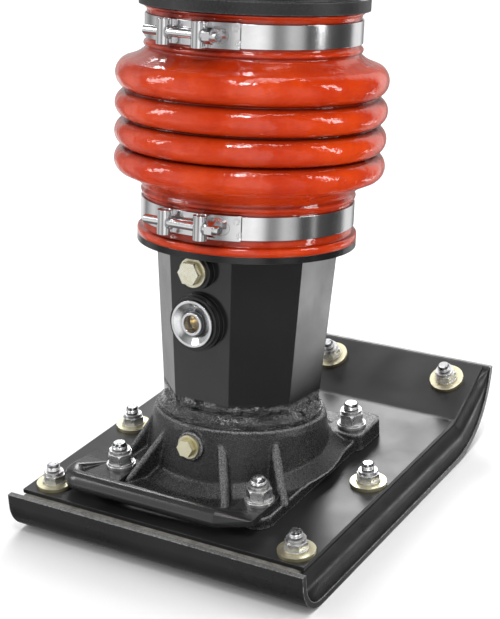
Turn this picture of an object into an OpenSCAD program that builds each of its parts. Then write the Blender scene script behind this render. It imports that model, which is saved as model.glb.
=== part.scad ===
// Jumping jack rammer: a petrol tamping rammer with a spring percussion leg, a bellows and a plate shoe.
// +X is the machine's right, +Y is the direction of travel, +Z is up, in millimetres.
// The origin is on the floor, just below the point where the percussion axis enters the sole.
// The leg and everything above it lean forward about X, so those parts are drawn upright in a leaned
// frame (x across, v forward, w up the percussion axis) and leaned() tips them into place.

/* [Stance] */
// Forward lean of the percussion axis, in degrees
lean = 9.3; // [6:0.1:12]

/* [Shoe] */
// Width of the shoe across the machine
shoe_w = 285; // [285:1:300]
// Thickness of the steel sole
sole_t = 5; // [4:0.5:6]
// Height of the top plate's upper face above the floor
deck_z = 39.2; // [39:0.1:40]
// Thickness of the top plate
deck_t = 3.5; // [3:0.1:4]
// Radius of the sole's upturned toe
toe_r = 82; // [81.5:0.5:82.5]
// Slope of the top plate over the toe, in degrees
toe_slope = 23; // [22:0.5:24]

/* [Leg] */
// Corner radius of the eight-sided leg at its foot
leg_r_low = 66.2; // [65:0.1:68]
// Corner radius of the eight-sided leg under its flange
leg_r_high = 76.6; // [75:0.1:78]
// Radius of the leg's top flange and of the bellows' lower lip
flange_r = 91; // [90:0.5:93]

/* [Bellows] */
// Outer radius of the convolutions
bellows_r = 111.6; // [110:0.1:113]
// Outer radius of the two cuffs
cuff_r = 87; // [86.5:0.1:87.2]
// Wall thickness
bellows_t = 2.7; // [2.2:0.1:2.7]

/* [Percussion unit] */
// Throw of the crank pin, half the piston's stroke
crank_throw = 35; // [30:1:36]
// Distance between the connecting rod's two eyes
rod_length = 115; // [112:1:118]
// Module of the reduction gears
gear_m = 2.25; // [2.25]
// Teeth of the crank gear
gear_teeth = 72; // [72]
// Teeth of the clutch pinion
pinion_teeth = 12; // [12]

/* [Handle] */
// Half width of the handle loop, to the tube's centre
handle_half = 185; // [175:5:195]
// Radius of the handle tube
tube_r = 13.5; // [12:0.5:15]

/* [Hidden] */
$fn = 96;
gap = 0.3; // clearance between pieces of different bodies
fit = 0.05; // radial clearance of a running fit
eps = 0.01; // overshoot of a cut

axis_z = 5.5; // height above the floor of the leaned frame's origin

// Levels up the percussion axis, in the leaned frame
foot_top_w = 84;
flange_w = 234; // top face of the leg's flange
neck_top_w = 269;
// Clamp bands: lower edge, upper edge, and turn of the bolt round the leg from the rear
low_band = [246.7, 265.3, -1.3];
high_band = [395, 413.6, -5];
rim_w = 421; // underside of the crankcase rim
rim_r = 93.5;
rim_t = 10;
spigot_w = 391; // lower end of the crankcase spigot
crank_w = 585;
centre_distance = gear_m * (gear_teeth + pinion_teeth) / 2;
drive_w = crank_w + centre_distance; // clutch and engine shaft
pin_w = crank_w - crank_throw; // crank pin at bottom dead centre
wrist_w = pin_w - rod_length;

// The sole: flat, with a short rear lip and a long toe
half_w = shoe_w / 2;
lip_r = 28;
lip_y = -133; // rear face of the lip
lip_z = 38.5;
toe_y = 142; // where the toe starts to rise
toe_end = 78; // how far round its radius the toe runs, in degrees
core_z = deck_z - deck_t;
deck_half = 136;
deck_rear = -120.3;
deck_bend = toe_y + 10;
toe_bolt_run = 44.5; // from the bend to the toe bolts, up the slope

// Fasteners: bolt radius, nut size across flats and nut height
m10_r = 5;
m12_r = 6;
m10_nut = [17, 10.3];
m12_nut = [19, 13];
shoe_bolt_xy = [[-116.5, -101.5], [120, -103], [-118.5, 17], [120, 17]];
toe_bolt_x = [-110, -10, 110];
foot_stud_xy = [[-68, -71], [68, -71], [-73, 77], [73, 77]];
lug_z = deck_z + 10.3;
front_lug_z = lug_z + 6;
plugs_x = -1.6; // the level plug and the sight glass sit a little left of the middle
drain_x = 0.4;
drain_v = 79; // how far behind the axis the drain plug's seat lies
drain_w = 68.5;
pad_t = 5; // flattened ends of the carry handle
plate_y = -57; // front edge of those ends

// Percussion unit radii
guide_ri = 44;
guide_ro = 49;
cyl_ro = guide_ri - fit;
cyl_ri = 39;
piston_r = cyl_ri - fit;
rod_r = 16;
piston_w = [151, 169];
cyl_floor_w = 60;
cap_w = [306, 324];
fork_w = 346; // floor of the piston rod's fork
fork_half = 8.4; // half the fork's gap
rod_half_t = 8; // half the connecting rod's thickness
pin_r = 15;
gear_v = [15.6, 39.6];

// Engine, behind the crankcase
mount_v = -97; // joint face between crankcase and engine
block_v = [-200, mount_v - 8];
grip_at = [48, -236]; // the starter rope's way out of its housing, as [x, v]
port_w = 790; // level of the inlet and exhaust ports

// Handle
loop_w = 905;
loop_front = 95;
loop_rear = -400;
loop_corner = 60;
pivot_w = 640;
mount_x = [106, 126]; // rubber mounts, along x
throttle_at = [-300, loop_w + 24]; // the throttle lever's pivot, as [v, w]
filler_v = 8; // the fuel filler's axis, along v
tap_at = [-60, 806]; // the fuel tap's axis, as [x, w]

// ---------------------------------------------------------------- helpers

module leaned() {
    translate([0, 0, axis_z]) rotate([-lean, 0, 0]) children();
}

// Cylinders along the three axes, from one level to another
module w_cyl(r, w0, w1, x = 0, v = 0) {
    translate([x, v, w0]) cylinder(h = w1 - w0, r = r);
}

module v_cyl(r, v0, v1, x = 0, w = 0) {
    translate([x, v0, w]) rotate([-90, 0, 0]) cylinder(h = v1 - v0, r = r);
}

module x_cyl(r, x0, x1, v = 0, w = 0) {
    translate([x0, v, w]) rotate([0, 90, 0]) cylinder(h = x1 - x0, r = r);
}

module box(x0, x1, y0, y1, z0, z1) {
    translate([x0, y0, z0]) cube([x1 - x0, y1 - y0, z1 - z0]);
}

// A tube along w
module w_tube(ro, ri, w0, w1) {
    difference() {
        w_cyl(ro, w0, w1);
        w_cyl(ri, w0 - 1, w1 + 1);
    }
}

// A flat outline in x and w, made solid from v0 to v1
module along_v(v0, v1) {
    translate([0, v1, 0]) rotate([90, 0, 0]) linear_extrude(height = v1 - v0) children();
}

// A slab with upright corners of radius r
module slab(x0, x1, y0, y1, z0, z1, r) {
    box(x0 + r, x1 - r, y0, y1, z0, z1);
    box(x0, x1, y0 + r, y1 - r, z0, z1);
    for (x = [x0 + r, x1 - r], y = [y0 + r, y1 - r]) w_cyl(r, z0, z1, x, y);
}

// A box with every edge rounded
module pillow(x0, x1, y0, y1, z0, z1, r) {
    intersection() {
        slab(x0, x1, y0, y1, z0, z1, r);
        rotate([90, 0, 0]) slab(x0, x1, z0, z1, -y1, -y0, r);
        rotate([90, 0, 90]) slab(y0, y1, z0, z1, x0, x1, r);
    }
}

module hex_prism(across, h) { cylinder(h = h, r = across / sqrt(3), $fn = 6); }

// A hexagon head with a round flange, pointing up from z = 0
module flange_head(flange, across, h) {
    cylinder(h = 2.5, r = flange / 2);
    hex_prism(across, h);
}

// A self-locking nut: a hexagon with a round collar round the thread
module lock_nut(size, bore) {
    difference() {
        union() {
            intersection() {
                hex_prism(size[0], size[1] - 3);
                cylinder(h = size[1], r1 = size[0] / 2 + 5, r2 = size[0] / 2 - 0.6);
            }
            cylinder(h = size[1], r = size[0] / 2 - 0.5);
            cylinder(h = 1.5, r = size[0] / 2 + 1.5);
        }
        translate([0, 0, -1]) cylinder(h = size[1] + 2, r = bore);
    }
}

// ---------------------------------------------------------------- shoe

// Puts children on each shoe bolt's axis, with z = 0 at the top plate's upper face
module at_shoe_bolts() {
    for (p = shoe_bolt_xy) translate([p[0], p[1], deck_z]) children();
    for (x = toe_bolt_x) translate([x, deck_bend, deck_z]) rotate([toe_slope, 0, 0])
        translate([0, toe_bolt_run, 0]) children();
}

// Side view of the shoe's body, inset from the underside by t. x is +Y here, and y is +Z
module shoe_side(t) {
    difference() {
        union() {
            translate([lip_y + lip_r, t]) square([toe_y - lip_y - lip_r, lip_z + 40]);
            translate([lip_y + lip_r, lip_r]) circle(r = lip_r - t);
            translate([lip_y + t, lip_r]) square([lip_r, lip_z + 40]);
            translate([toe_y, toe_r]) circle(r = toe_r - t);
        }
        translate([lip_y - 5, toe_r]) square([500, 200]);
    }
}

// A slab across the machine, drawn from a side view
module across(x0, x1) {
    translate([x0, 0, 0]) rotate([90, 0, 90]) linear_extrude(height = x1 - x0) children();
}

module sole_plate() {
    tip_y = toe_r * cos(toe_end);
    color("#1b1b1d") difference() {
        across(-half_w, half_w) difference() {
            shoe_side(0);
            shoe_side(sole_t);
            translate([-200, lip_z]) square([toe_y + 200, 100]);
            translate([toe_y, toe_r]) rotate(toe_end - 90) translate([0, -eps]) square([200, 200]);
            translate([toe_y - 150, toe_r - tip_y]) square([300, 100]);
        }
        at_shoe_bolts() translate([0, 0, -60]) cylinder(h = 61, r = m10_r + 0.5);
        for (p = shoe_bolt_xy) translate([p[0], p[1], -eps])
            cylinder(h = sole_t + 2 * eps, r1 = 11, r2 = m10_r + 0.5);
    }
}

// Line of the top plate from rear to toe at a depth below its upper face, with a rounded bend
bend_r = 14;
bend_steps = 6;
deck_toe = 68.6; // from the bend to the plate's front edge, up the slope
function down(a) = [sin(a), -cos(a)];
function deck_line(depth) = let (mid = [deck_bend - bend_r * tan(toe_slope / 2), deck_z + bend_r])
    concat([[deck_rear, deck_z - depth]],
    [for (i = [0:bend_steps]) mid + (bend_r + depth) * down(i * toe_slope / bend_steps)],
    [[deck_bend, deck_z] + deck_toe * [cos(toe_slope), sin(toe_slope)] + depth * down(toe_slope)]);
function backwards(list) = [for (i = [len(list) - 1:-1:0]) list[i]];

// Rounds off the core's upper side edges, along a straight run in y
module shoulder_cut(y0, y1) {
    shoulder = 13;
    side = half_w - 1;
    for (s = [0, 1]) mirror([s, 0, 0]) difference() {
        box(side - shoulder, side + 10, y0, y1, -shoulder - deck_t, 5);
        translate([side - shoulder, y0 - 1, -shoulder - deck_t]) rotate([-90, 0, 0])
            cylinder(h = y1 - y0 + 2, r = shoulder);
    }
}

module shoe_core() {
    color("#26272a") difference() {
        across(1 - half_w, half_w - 1) difference() {
            shoe_side(sole_t + 0.1);
            translate([lip_y, 0]) square([sole_t + 1, 100]);
            polygon(concat([[-300, core_z]], deck_line(deck_t), [[260, 90], [260, 200], [-300, 200]]));
        }
        translate([0, 0, deck_z]) shoulder_cut(-200, deck_bend - 2);
        translate([0, deck_bend, deck_z]) rotate([toe_slope, 0, 0]) shoulder_cut(-3, 90);
        at_shoe_bolts() translate([0, 0, -60]) cylinder(h = 61, r = m10_r + 0.5);
        for (p = foot_stud_xy) w_cyl(m12_r + 0.5, 12, 60, p[0], p[1]);
        for (p = foot_stud_xy) translate([p[0], p[1], 12]) cylinder(h = 9, r = 14);
    }
}

module shoe_top_plate() {
    color("#1d1e21") difference() {
        across(-deck_half, deck_half) polygon(concat(deck_line(0), backwards(deck_line(deck_t))));
        at_shoe_bolts() translate([0, 0, -20]) cylinder(h = 40, r = m10_r + 0.5);
        for (p = foot_stud_xy) w_cyl(m12_r + 0.5, 20, 60, p[0], p[1]);
    }
}

module shoe_bolts() {
    stand = 19.7; // how far the thread stands above the deck
    color("#c9ccd0") {
        for (p = shoe_bolt_xy) translate([p[0], p[1], 0]) {
            cylinder(h = sole_t, r1 = 10.5, r2 = m10_r);
            cylinder(h = deck_z + stand - 1, r = m10_r);
            translate([0, 0, deck_z + stand - 1]) cylinder(h = 1, r1 = m10_r, r2 = m10_r - 1);
        }
        // The toe bolts are cut flush with the curved sole
        intersection() {
            for (x = toe_bolt_x) translate([x, deck_bend, deck_z]) rotate([toe_slope, 0, 0])
                translate([0, toe_bolt_run, -60]) {
                    cylinder(h = 60 + stand - 1, r = m10_r);
                    translate([0, 0, 60 + stand - 1]) cylinder(h = 1, r1 = m10_r, r2 = m10_r - 1);
                }
            x_cyl(toe_r, -200, 200, toe_y, toe_r);
        }
    }
}

module shoe_washers() {
    color("#cfc07a") at_shoe_bolts() difference() {
        cylinder(h = 3, r = 15.4);
        translate([0, 0, -1]) cylinder(h = 6, r = m10_r + 0.4);
    }
}

module shoe_nuts() {
    color("#c4c7cb") at_shoe_bolts() translate([0, 0, 3]) rotate(12) lock_nut(m10_nut, m10_r + fit);
}

// ---------------------------------------------------------------- foot

// The cone of the foot, which leans with the leg, stopped at the shoe's deck
module foot_cone(r_low, r_high, w0, w1) {
    leaned() translate([0, 0, w0]) cylinder(h = w1 - w0, r1 = r_low, r2 = r_high);
}

// Ribs that flank the rear studs, as [top, foot, width, height over the lugs], rooted inside the cone
rear_ribs = [[[25, -56], [44.5, -86], 8, 41], [[60, -31], [82, -57], 8, 37],
    [[-31, -54], [-52, -85], 5.5, 40], [[-60, -31], [-79, -45], 6, 36]];

module foot_rib(top, low, width, height) {
    r = width / 2;
    hull() {
        translate([top[0], top[1], lug_z + height - r]) sphere(r = r, $fn = 24);
        translate([low[0], low[1], lug_z + 3 - r]) sphere(r = r, $fn = 24);
        translate([low[0] * 0.8, low[1] * 0.8, lug_z - 4]) sphere(r = r, $fn = 24);
        translate([top[0] * 0.85, top[1] * 0.85, lug_z + 24]) sphere(r = r, $fn = 24);
    }
}

module foot_casting() {
    front_y = 104;
    rear_y = -91;
    edge_x = 84;
    color("#202124") difference() {
        union() {
            slab(-edge_x, edge_x, rear_y, front_y, deck_z, lug_z, 14);
            for (i = [2, 3]) slab(foot_stud_xy[i][0] - 19, foot_stud_xy[i][0] + 16, foot_stud_xy[i][1] - 17,
                foot_stud_xy[i][1] + 28, deck_z, front_lug_z, 9);
            intersection() {
                union() {
                    // Fillet between the cone and the flange
                    translate([0, 7.5, lug_z - 1]) cylinder(h = 9, r1 = 92, r2 = 79);
                    foot_cone(81, 74.5, 20, foot_top_w - 6);
                    foot_cone(74.5, 72.5, foot_top_w - 6, foot_top_w);
                    for (r = rear_ribs) foot_rib(r[0], r[1], r[2], r[3]);
                    leaned() v_cyl(12, -drain_v, -50, drain_x, drain_w);
                }
                box(-120, 120, rear_y, 120, deck_z, 140);
            }
        }
        leaned() w_cyl(56, 52, foot_top_w + 1);
        leaned() v_cyl(7, -90, -50, drain_x, drain_w);
        for (p = foot_stud_xy) w_cyl(m12_r + 0.5, 20, 100, p[0], p[1]);
        for (i = [0, 1]) w_cyl(15, lug_z, lug_z + 36, foot_stud_xy[i][0], foot_stud_xy[i][1]);
        for (i = [2, 3]) w_cyl(15, front_lug_z, lug_z + 36, foot_stud_xy[i][0], foot_stud_xy[i][1]);
        // The handle's plates lie on the rear corners
        for (x = [[-103, -53.5], [53.5, 79.6]]) box(x[0], x[1], rear_y - 1, plate_y + 0.5, lug_z, lug_z + 36);
    }
}

// Height of the face that each foot washer lies on
function stud_seat(i) = i < 2 ? lug_z + pad_t : front_lug_z;

module foot_studs() {
    color("#b9bcc0") for (i = [0:3]) translate([foot_stud_xy[i][0], foot_stud_xy[i][1], 12.2]) {
        cylinder(h = 8, r = 13);
        cylinder(h = stud_seat(i) + 20.3 - 12.2, r = m12_r);
        // The rear right stud ends in a dome, the others in a chamfer
        translate([0, 0, stud_seat(i) + 20.3 - 12.2]) {
            if (i == 1) intersection() {
                cylinder(h = 5, r = m12_r);
                translate([0, 0, -5]) sphere(r = 7.8);
            }
            else cylinder(h = 1.2, r1 = m12_r, r2 = m12_r - 1.2);
        }
    }
}

module foot_washers() {
    color("#b9bcc0") for (i = [0:3]) translate([foot_stud_xy[i][0], foot_stud_xy[i][1], stud_seat(i)])
        difference() {
            cylinder(h = 2.5, r = 12.3);
            translate([0, 0, -1]) cylinder(h = 5, r = m12_r + 0.4);
        }
}

module foot_nuts() {
    color("#8f9296") for (i = [0:3]) translate([foot_stud_xy[i][0], foot_stud_xy[i][1], stud_seat(i) + 2.5])
        rotate(20 * i) lock_nut(m12_nut, m12_r + fit);
}

// A bar behind the foot. Its left end bends forward and its right end is forged flat, so that each
// ends in a plate under a rear stud
module carry_handle() {
    bar_r = 8.5;
    bar_y = -105;
    bar_z = lug_z + 2;
    bend = 12;
    left_x = -98;
    right_x = 50; // where the bar starts to flatten
    plate_rear = -100; // the left plate runs back to the bar
    color("#222326") difference() {
        union() {
            x_cyl(bar_r, left_x + bend, right_x, bar_y, bar_z);
            translate([left_x + bend, bar_y + bend, bar_z]) rotate(180)
                rotate_extrude(angle = 90) translate([bend, 0]) circle(r = bar_r);
            hull() {
                translate([left_x, bar_y + bend, bar_z]) rotate([-90, 0, 0])
                    cylinder(h = 0.5, r = bar_r, $fn = 32);
                translate([left_x - 7, bar_y + bend + 21, lug_z]) cube([24, 1, pad_t]);
            }
            slab(left_x - 7, -54, plate_rear, plate_y, lug_z, lug_z + pad_t, 5);
            hull() {
                x_cyl(bar_r, right_x - 1, right_x, bar_y, bar_z, $fn = 32);
                slab(58, 79, -103, -88, lug_z, lug_z + pad_t, 4, $fn = 32);
            }
            slab(54, 79.2, -101, plate_y, lug_z, lug_z + pad_t, 4);
        }
        for (i = [0, 1]) {
            w_cyl(m12_r + 0.5, 20, 100, foot_stud_xy[i][0], foot_stud_xy[i][1]);
            w_cyl(13, lug_z + pad_t, 100, foot_stud_xy[i][0], foot_stud_xy[i][1]);
        }
        // Clear of the foot's flange
        box(-120, 120, -91.3, -40, 20, lug_z);
    }
}

module drain_plug() {
    color("#d9cfa0") leaned() translate([drain_x, -drain_v, drain_w]) rotate([90, 0, 0]) {
        flange_head(19.6, 13, 8);
        translate([0, 0, -20]) cylinder(h = 20.5, r = 6.9);
    }
}

// ---------------------------------------------------------------- leg

sight_w = 171.7;
plug_w = 214.5;
sight_face = -76; // front face of the sight glass boss, along v
plug_face = -77;
boss_r = 23.6;
collar_r = 70.3; // the leg's collar on top of the foot
lens_r = 7.4;

module leg_housing() {
    color("#17181a") leaned() difference() {
        union() {
            translate([0, 0, foot_top_w + 4]) rotate(22.5)
                cylinder(h = flange_w - 5 - foot_top_w - 4, r1 = leg_r_low, r2 = leg_r_high, $fn = 8);
            w_cyl(collar_r, foot_top_w, foot_top_w + 4);
            translate([0, 0, foot_top_w + 3]) cylinder(h = 7, r1 = collar_r - 0.7, r2 = leg_r_low - 1);
            w_cyl(55.8, 62, foot_top_w + 1);
            w_cyl(flange_r, flange_w - 5.5, flange_w);
            w_cyl(cuff_r - bellows_t - 0.1, flange_w - 1, neck_top_w);
            v_cyl(boss_r, sight_face + 3, -50, plugs_x, sight_w);
            v_cyl(boss_r - 1.6, sight_face, -50, plugs_x, sight_w);
            v_cyl(15, plug_face, -50, plugs_x, plug_w);
        }
        translate([0, 0, foot_top_w]) cylinder(h = neck_top_w - foot_top_w + 1, r1 = 54, r2 = 64.5);
        w_cyl(51, 61, foot_top_w + 1);
        w_cyl(78, 242, neck_top_w + 1);
        v_cyl(12, sight_face - 1, -50, plugs_x, sight_w);
        v_cyl(19.5, sight_face - 1, sight_face + 4, plugs_x, sight_w);
        v_cyl(7, plug_face - 1, -50, plugs_x, plug_w);
    }
}

// Steel ring screwed into the boss, dished towards a raised collar round the lens
module sight_glass_body() {
    face = sight_face - 2.5;
    color("#d3d6d9") leaned() difference() {
        union() {
            v_cyl(19.2, face, sight_face + 4, plugs_x, sight_w);
            v_cyl(11.9, sight_face + 4, sight_face + 16, plugs_x, sight_w);
        }
        difference() {
            translate([plugs_x, face - 1, sight_w]) rotate([-90, 0, 0]) cylinder(h = 5, r1 = 19, r2 = 10);
            v_cyl(lens_r + 2, face - 2, face + 6, plugs_x, sight_w);
        }
        v_cyl(lens_r, face - 2, sight_face + 17, plugs_x, sight_w);
        v_cyl(10.6, face + 7.5, sight_face + 17, plugs_x, sight_w);
    }
}

module sight_glass_lens() {
    color("#e8e6c8") leaned() v_cyl(10.5, sight_face + 5 + eps, sight_face + 9, plugs_x, sight_w);
}

module sight_glass_reflector() {
    color("#b98a3a") leaned() difference() {
        v_cyl(10.5, sight_face + 9.1, sight_face + 15, plugs_x, sight_w);
        translate([plugs_x, sight_face + 9, sight_w]) rotate([-90, 0, 0]) cylinder(h = 5, r1 = 7.5, r2 = 2.5);
    }
}

module level_plug() {
    color("#e0d6a2") leaned() translate([plugs_x, plug_face, plug_w]) rotate([90, 0, 0]) {
        flange_head(24.5, 17, 9);
        translate([0, 0, -14]) cylinder(h = 14.5, r = 6.9);
    }
}

// ---------------------------------------------------------------- bellows and clamps

// Convolutions from the bottom up: level, and radius of the roll
rolls = [[295.6, 11.8], [317.9, 11.8], [340.9, 11.8], [365.4, 13.6]];
// Half angles of each roll's outer arc, from its lower groove to its upper one
roll_arcs = [[-52, 70], [-70, 72], [-72, 72], [-62, 58]];
roll_steps = 8;

// Outer line of the convolutions, as [radius, level]
function roll_line() = [for (i = [0:3], k = [0:roll_steps])
    let (a = roll_arcs[i][0] + (roll_arcs[i][1] - roll_arcs[i][0]) * k / roll_steps)
    [bellows_r - rolls[i][1] * (1 - cos(a)), rolls[i][0] + rolls[i][1] * sin(a)]];

lower_cuff = [[flange_r, flange_w], [flange_r, flange_w + 4.5], [flange_r - 1.5, flange_w + 6],
    [cuff_r, flange_w + 6.5], [cuff_r, 268.4], [cuff_r + 1.6, 269.6], [cuff_r + 1.6, 272],
    [cuff_r + 0.3, 273], [cuff_r + 1.2, 275.5], [cuff_r + 3, 277.5]];
upper_cuff = [[cuff_r + 4.5, 383.5], [cuff_r + 1.4, 386], [cuff_r + 0.6, 388.2], [cuff_r + 1.9, 389.4],
    [cuff_r + 1.9, 391.4], [cuff_r, 392.6], [cuff_r, 417.5], [cuff_r + 2.2, 418.5],
    [cuff_r + 2.2, rim_w - gap]];
bellows_line = concat(lower_cuff, roll_line(), upper_cuff);

// The inner line keeps the cuffs' bores straight and follows the rolls inside
function inner_r(p) = p[1] < neck_top_w + 1 || p[1] > spigot_w - 4 ? cuff_r - bellows_t
    : max(cuff_r - bellows_t, p[0] - bellows_t - 0.8);
inner_line = [for (i = [len(bellows_line) - 1:-1:0]) [inner_r(bellows_line[i]), bellows_line[i][1]]];

module bellows() {
    color("#e8401c") leaned() rotate_extrude() polygon(concat(bellows_line, inner_line));
}

band_r = cuff_r + gap; // inner radius of a clamp band
band_t = 1.2;
plate_t = 1.3; // tail plate over the band
bolt_n = 94.2; // distance of the clamp bolt's line from the axis
bolt_r = 3.7;
barrel_x = 17; // the two barrels, either side of the clamp's middle
barrel_r = 5;
loop_r = barrel_r + 1.2;

// Puts children in a clamp's own frame: x along the bolt, y out from the axis, z up
module at_clamp(band) {
    leaned() rotate(180 + band[2]) mirror([1, 0, 0]) translate([0, 0, (band[0] + band[1]) / 2]) children();
}

// The band, with a looped end round each barrel and a tail plate riveted over it
module clamp_band(band) {
    h = band[1] - band[0];
    color("#cfd1d4") {
        leaned() w_tube(band_r + band_t, band_r, band[0], band[1]);
        at_clamp(band) difference() {
            for (s = [-1, 1]) {
                translate([s * barrel_x, bolt_n, -h / 2 - 0.5]) cylinder(h = h + 1, r = loop_r);
                translate([s * barrel_x - 4.5, 82, -h / 2 - 0.5]) cube([9, 8, h + 1]);
            }
            translate([0, 0, -h]) cylinder(h = 2 * h, r = band_r + band_t - 0.3);
            for (s = [-1, 1]) translate([s * barrel_x, bolt_n, -h]) cylinder(h = 2 * h, r = barrel_r + fit);
            // Waisted at mid height for the bolt, all but the right loop's inner side
            for (x = [-barrel_x - 9.6, -barrel_x + 9.6, barrel_x + 9.6]) translate([x, 80, 0])
                rotate([-90, 0, 0]) cylinder(h = 30, r = 6.4);
            translate([0, bolt_n - 9, -bolt_r - 0.6]) cube([barrel_x, 9 + bolt_r + 0.6, 2 * bolt_r + 1.2]);
        }
        at_clamp(band) difference() {
            translate([0, 0, -h / 2 - 0.7]) cylinder(h = h + 1.4, r = band_r + band_t + plate_t);
            translate([0, 0, -h]) cylinder(h = 2 * h, r = band_r + band_t - 0.1);
            translate([-200, -200, -h]) cube([200 + barrel_x - 4, 400, 2 * h]);
            translate([barrel_x + 27, -200, -h]) cube([200, 400, 2 * h]);
            translate([-200, -200, -h]) cube([400, 260, 2 * h]);
            translate([barrel_x + 13, 70, 0]) rotate([-90, 0, 0]) cylinder(h = 40, r = 6);
            for (p = [[-27, 6], [-29, -5.5]]) rotate(p[0]) translate([0, 0, p[1]]) rotate([-90, 0, 0])
                difference() {
                    translate([0, 0, band_r + band_t + 0.3]) cylinder(h = 3, r = 2.7);
                    cylinder(h = band_r + band_t + 0.9, r = 1.5);
                }
        }
    }
}

// Barrels through which the bolt passes
module clamp_trunnions(band) {
    h = band[1] - band[0];
    color("#b4b7bb") at_clamp(band) for (s = [-1, 1]) difference() {
        translate([s * barrel_x, bolt_n, -h / 2]) cylinder(h = h, r = barrel_r);
        translate([s * barrel_x - 10, bolt_n, 0]) rotate([0, 90, 0]) cylinder(h = 20, r = bolt_r + fit);
    }
}

module clamp_bolt(band) {
    color("#9c9fa3") at_clamp(band) translate([0, bolt_n, 0]) rotate([0, 90, 0]) {
        translate([0, 0, -36]) cylinder(h = 71, r = bolt_r);
        translate([0, 0, barrel_x + loop_r + 0.4]) hex_prism(11, 7);
    }
}

module lower_clamp_band() { clamp_band(low_band); }
module lower_clamp_trunnions() { clamp_trunnions(low_band); }
module lower_clamp_bolt() { clamp_bolt(low_band); }
module upper_clamp_band() { clamp_band(high_band); }
module upper_clamp_trunnions() { clamp_trunnions(high_band); }
module upper_clamp_bolt() { clamp_bolt(high_band); }

// ---------------------------------------------------------------- percussion unit

coil_sides = 8;
coil_rings = 16; // per turn

// A coil spring along w, swept from its helix
module coil(mean_r, wire_r, w0, w1, turns) {
    rings = turns * coil_rings;
    rise = (w1 - w0 - 2 * wire_r) / rings;
    points = [for (i = [0:rings], s = [0:coil_sides - 1])
        let (a = 360 * i / coil_rings, b = 360 * s / coil_sides, r = mean_r + wire_r * cos(b))
        [r * cos(a), r * sin(a), w0 + wire_r + rise * i + wire_r * sin(b)]];
    start = [for (s = [0:coil_sides - 1]) s];
    end = [for (s = [coil_sides - 1:-1:0]) rings * coil_sides + s];
    sides = [for (i = [0:rings - 1], s = [0:coil_sides - 1])
        let (t = (s + 1) % coil_sides)
        [i * coil_sides + s, (i + 1) * coil_sides + s, (i + 1) * coil_sides + t, i * coil_sides + t]];
    polyhedron(points, concat([start], sides, [end]), convexity = 10);
}

module spring_cylinder() {
    color("#6f7378") leaned() difference() {
        union() {
            w_cyl(50.5, 52.1, cyl_floor_w);
            w_cyl(cyl_ro, cyl_floor_w - 1, cap_w[0] + 6);
        }
        w_cyl(cyl_ri, cyl_floor_w, cap_w[1] + 1);
    }
}

// Closes the cylinder's top round the piston rod, with the rod's bush
module spring_cylinder_cap() {
    color("#84888d") leaned() difference() {
        union() {
            w_cyl(cyl_ri - fit, cap_w[0], cap_w[0] + 6.1);
            w_cyl(cyl_ro - 0.5, cap_w[0] + 6.1, cap_w[1]);
        }
        w_cyl(rod_r + fit, cap_w[0] - 1, cap_w[1] + 1);
    }
}

module upper_springs() {
    color("#8a5a2b") leaned() {
        coil(31, 4.5, piston_w[1] + gap, cap_w[0] - gap, 6);
        coil(21.2, 3, piston_w[1] + gap, cap_w[0] - gap, 8);
    }
}

module lower_springs() {
    color("#8a5a2b") leaned() {
        coil(31, 4.5, cyl_floor_w + gap, piston_w[0] - gap, 4);
        coil(21.2, 3, cyl_floor_w + gap, piston_w[0] - gap, 6);
    }
}

module guide_cylinder() {
    color("#595c60") leaned() difference() {
        union() {
            w_cyl(guide_ro, 165, 440);
            w_cyl(72, 413, rim_w);
        }
        w_cyl(guide_ri, 164, 441);
    }
}

module piston() {
    color("#74777c") leaned() difference() {
        w_cyl(piston_r, piston_w[0], piston_w[1]);
        w_cyl(rod_r - 3, piston_w[0] - 1, piston_w[1] + 1);
        w_tube(40, cyl_ri - 1.2, (piston_w[0] + piston_w[1]) / 2 - 3, (piston_w[0] + piston_w[1]) / 2 + 3);
    }
}

// The rod's lower end passes through the piston, and its upper end is forked for the connecting rod
module piston_rod() {
    ear_v = gear_v[0] - 0.5;
    color("#a9adb1") leaned() difference() {
        union() {
            w_cyl(rod_r - 3, piston_w[0] - 0.5, piston_w[1] + 1);
            w_cyl(rod_r, piston_w[1], fork_w - 20);
            intersection() {
                union() {
                    w_cyl(rod_r, fork_w - 20, wrist_w);
                    v_cyl(rod_r, -rod_r, rod_r, 0, wrist_w);
                }
                box(-rod_r, rod_r, -ear_v, ear_v, fork_w - 20, wrist_w + rod_r + 1);
                w_cyl(rod_r, fork_w - 20, wrist_w + rod_r);
            }
        }
        box(-20, 20, -fork_half, fork_half, fork_w, wrist_w + 30);
        v_cyl(8 + fit, -20, 20, 0, wrist_w);
    }
}

// The small end carries its pin flush with the rod's faces, clear of the fork's ears
module con_rod() {
    color("#909499") leaned() difference() {
        union() {
            v_cyl(13.5, -rod_half_t, rod_half_t, 0, wrist_w);
            v_cyl(22, -rod_half_t, rod_half_t, 0, pin_w);
            box(-8, 8, -rod_half_t + 1.5, rod_half_t - 1.5, wrist_w, pin_w - 18);
        }
        v_cyl(pin_r + fit, -20, 20, 0, pin_w);
    }
}

// Flat outline of a spur gear, with one tooth along +y if phase is 0
module gear_outline(teeth, phase) {
    pitch = gear_m * teeth / 2;
    root = pitch - 1.2 * gear_m;
    tip = pitch + 0.9 * gear_m;
    step = 360 / teeth;
    // Half angles of a tooth at its root, pitch line and tip
    half = [0.33, 0.225, 0.11] * step;
    polygon([for (i = [0:teeth - 1]) let (a = 90 + phase + i * step) each [
        for (q = [[root, -half[0]], [pitch, -half[1]], [tip, -half[2]], [tip, half[2]], [pitch, half[1]],
            [root, half[0]]]) q[0] * [cos(a + q[1]), sin(a + q[1])]]]);
}

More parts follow.
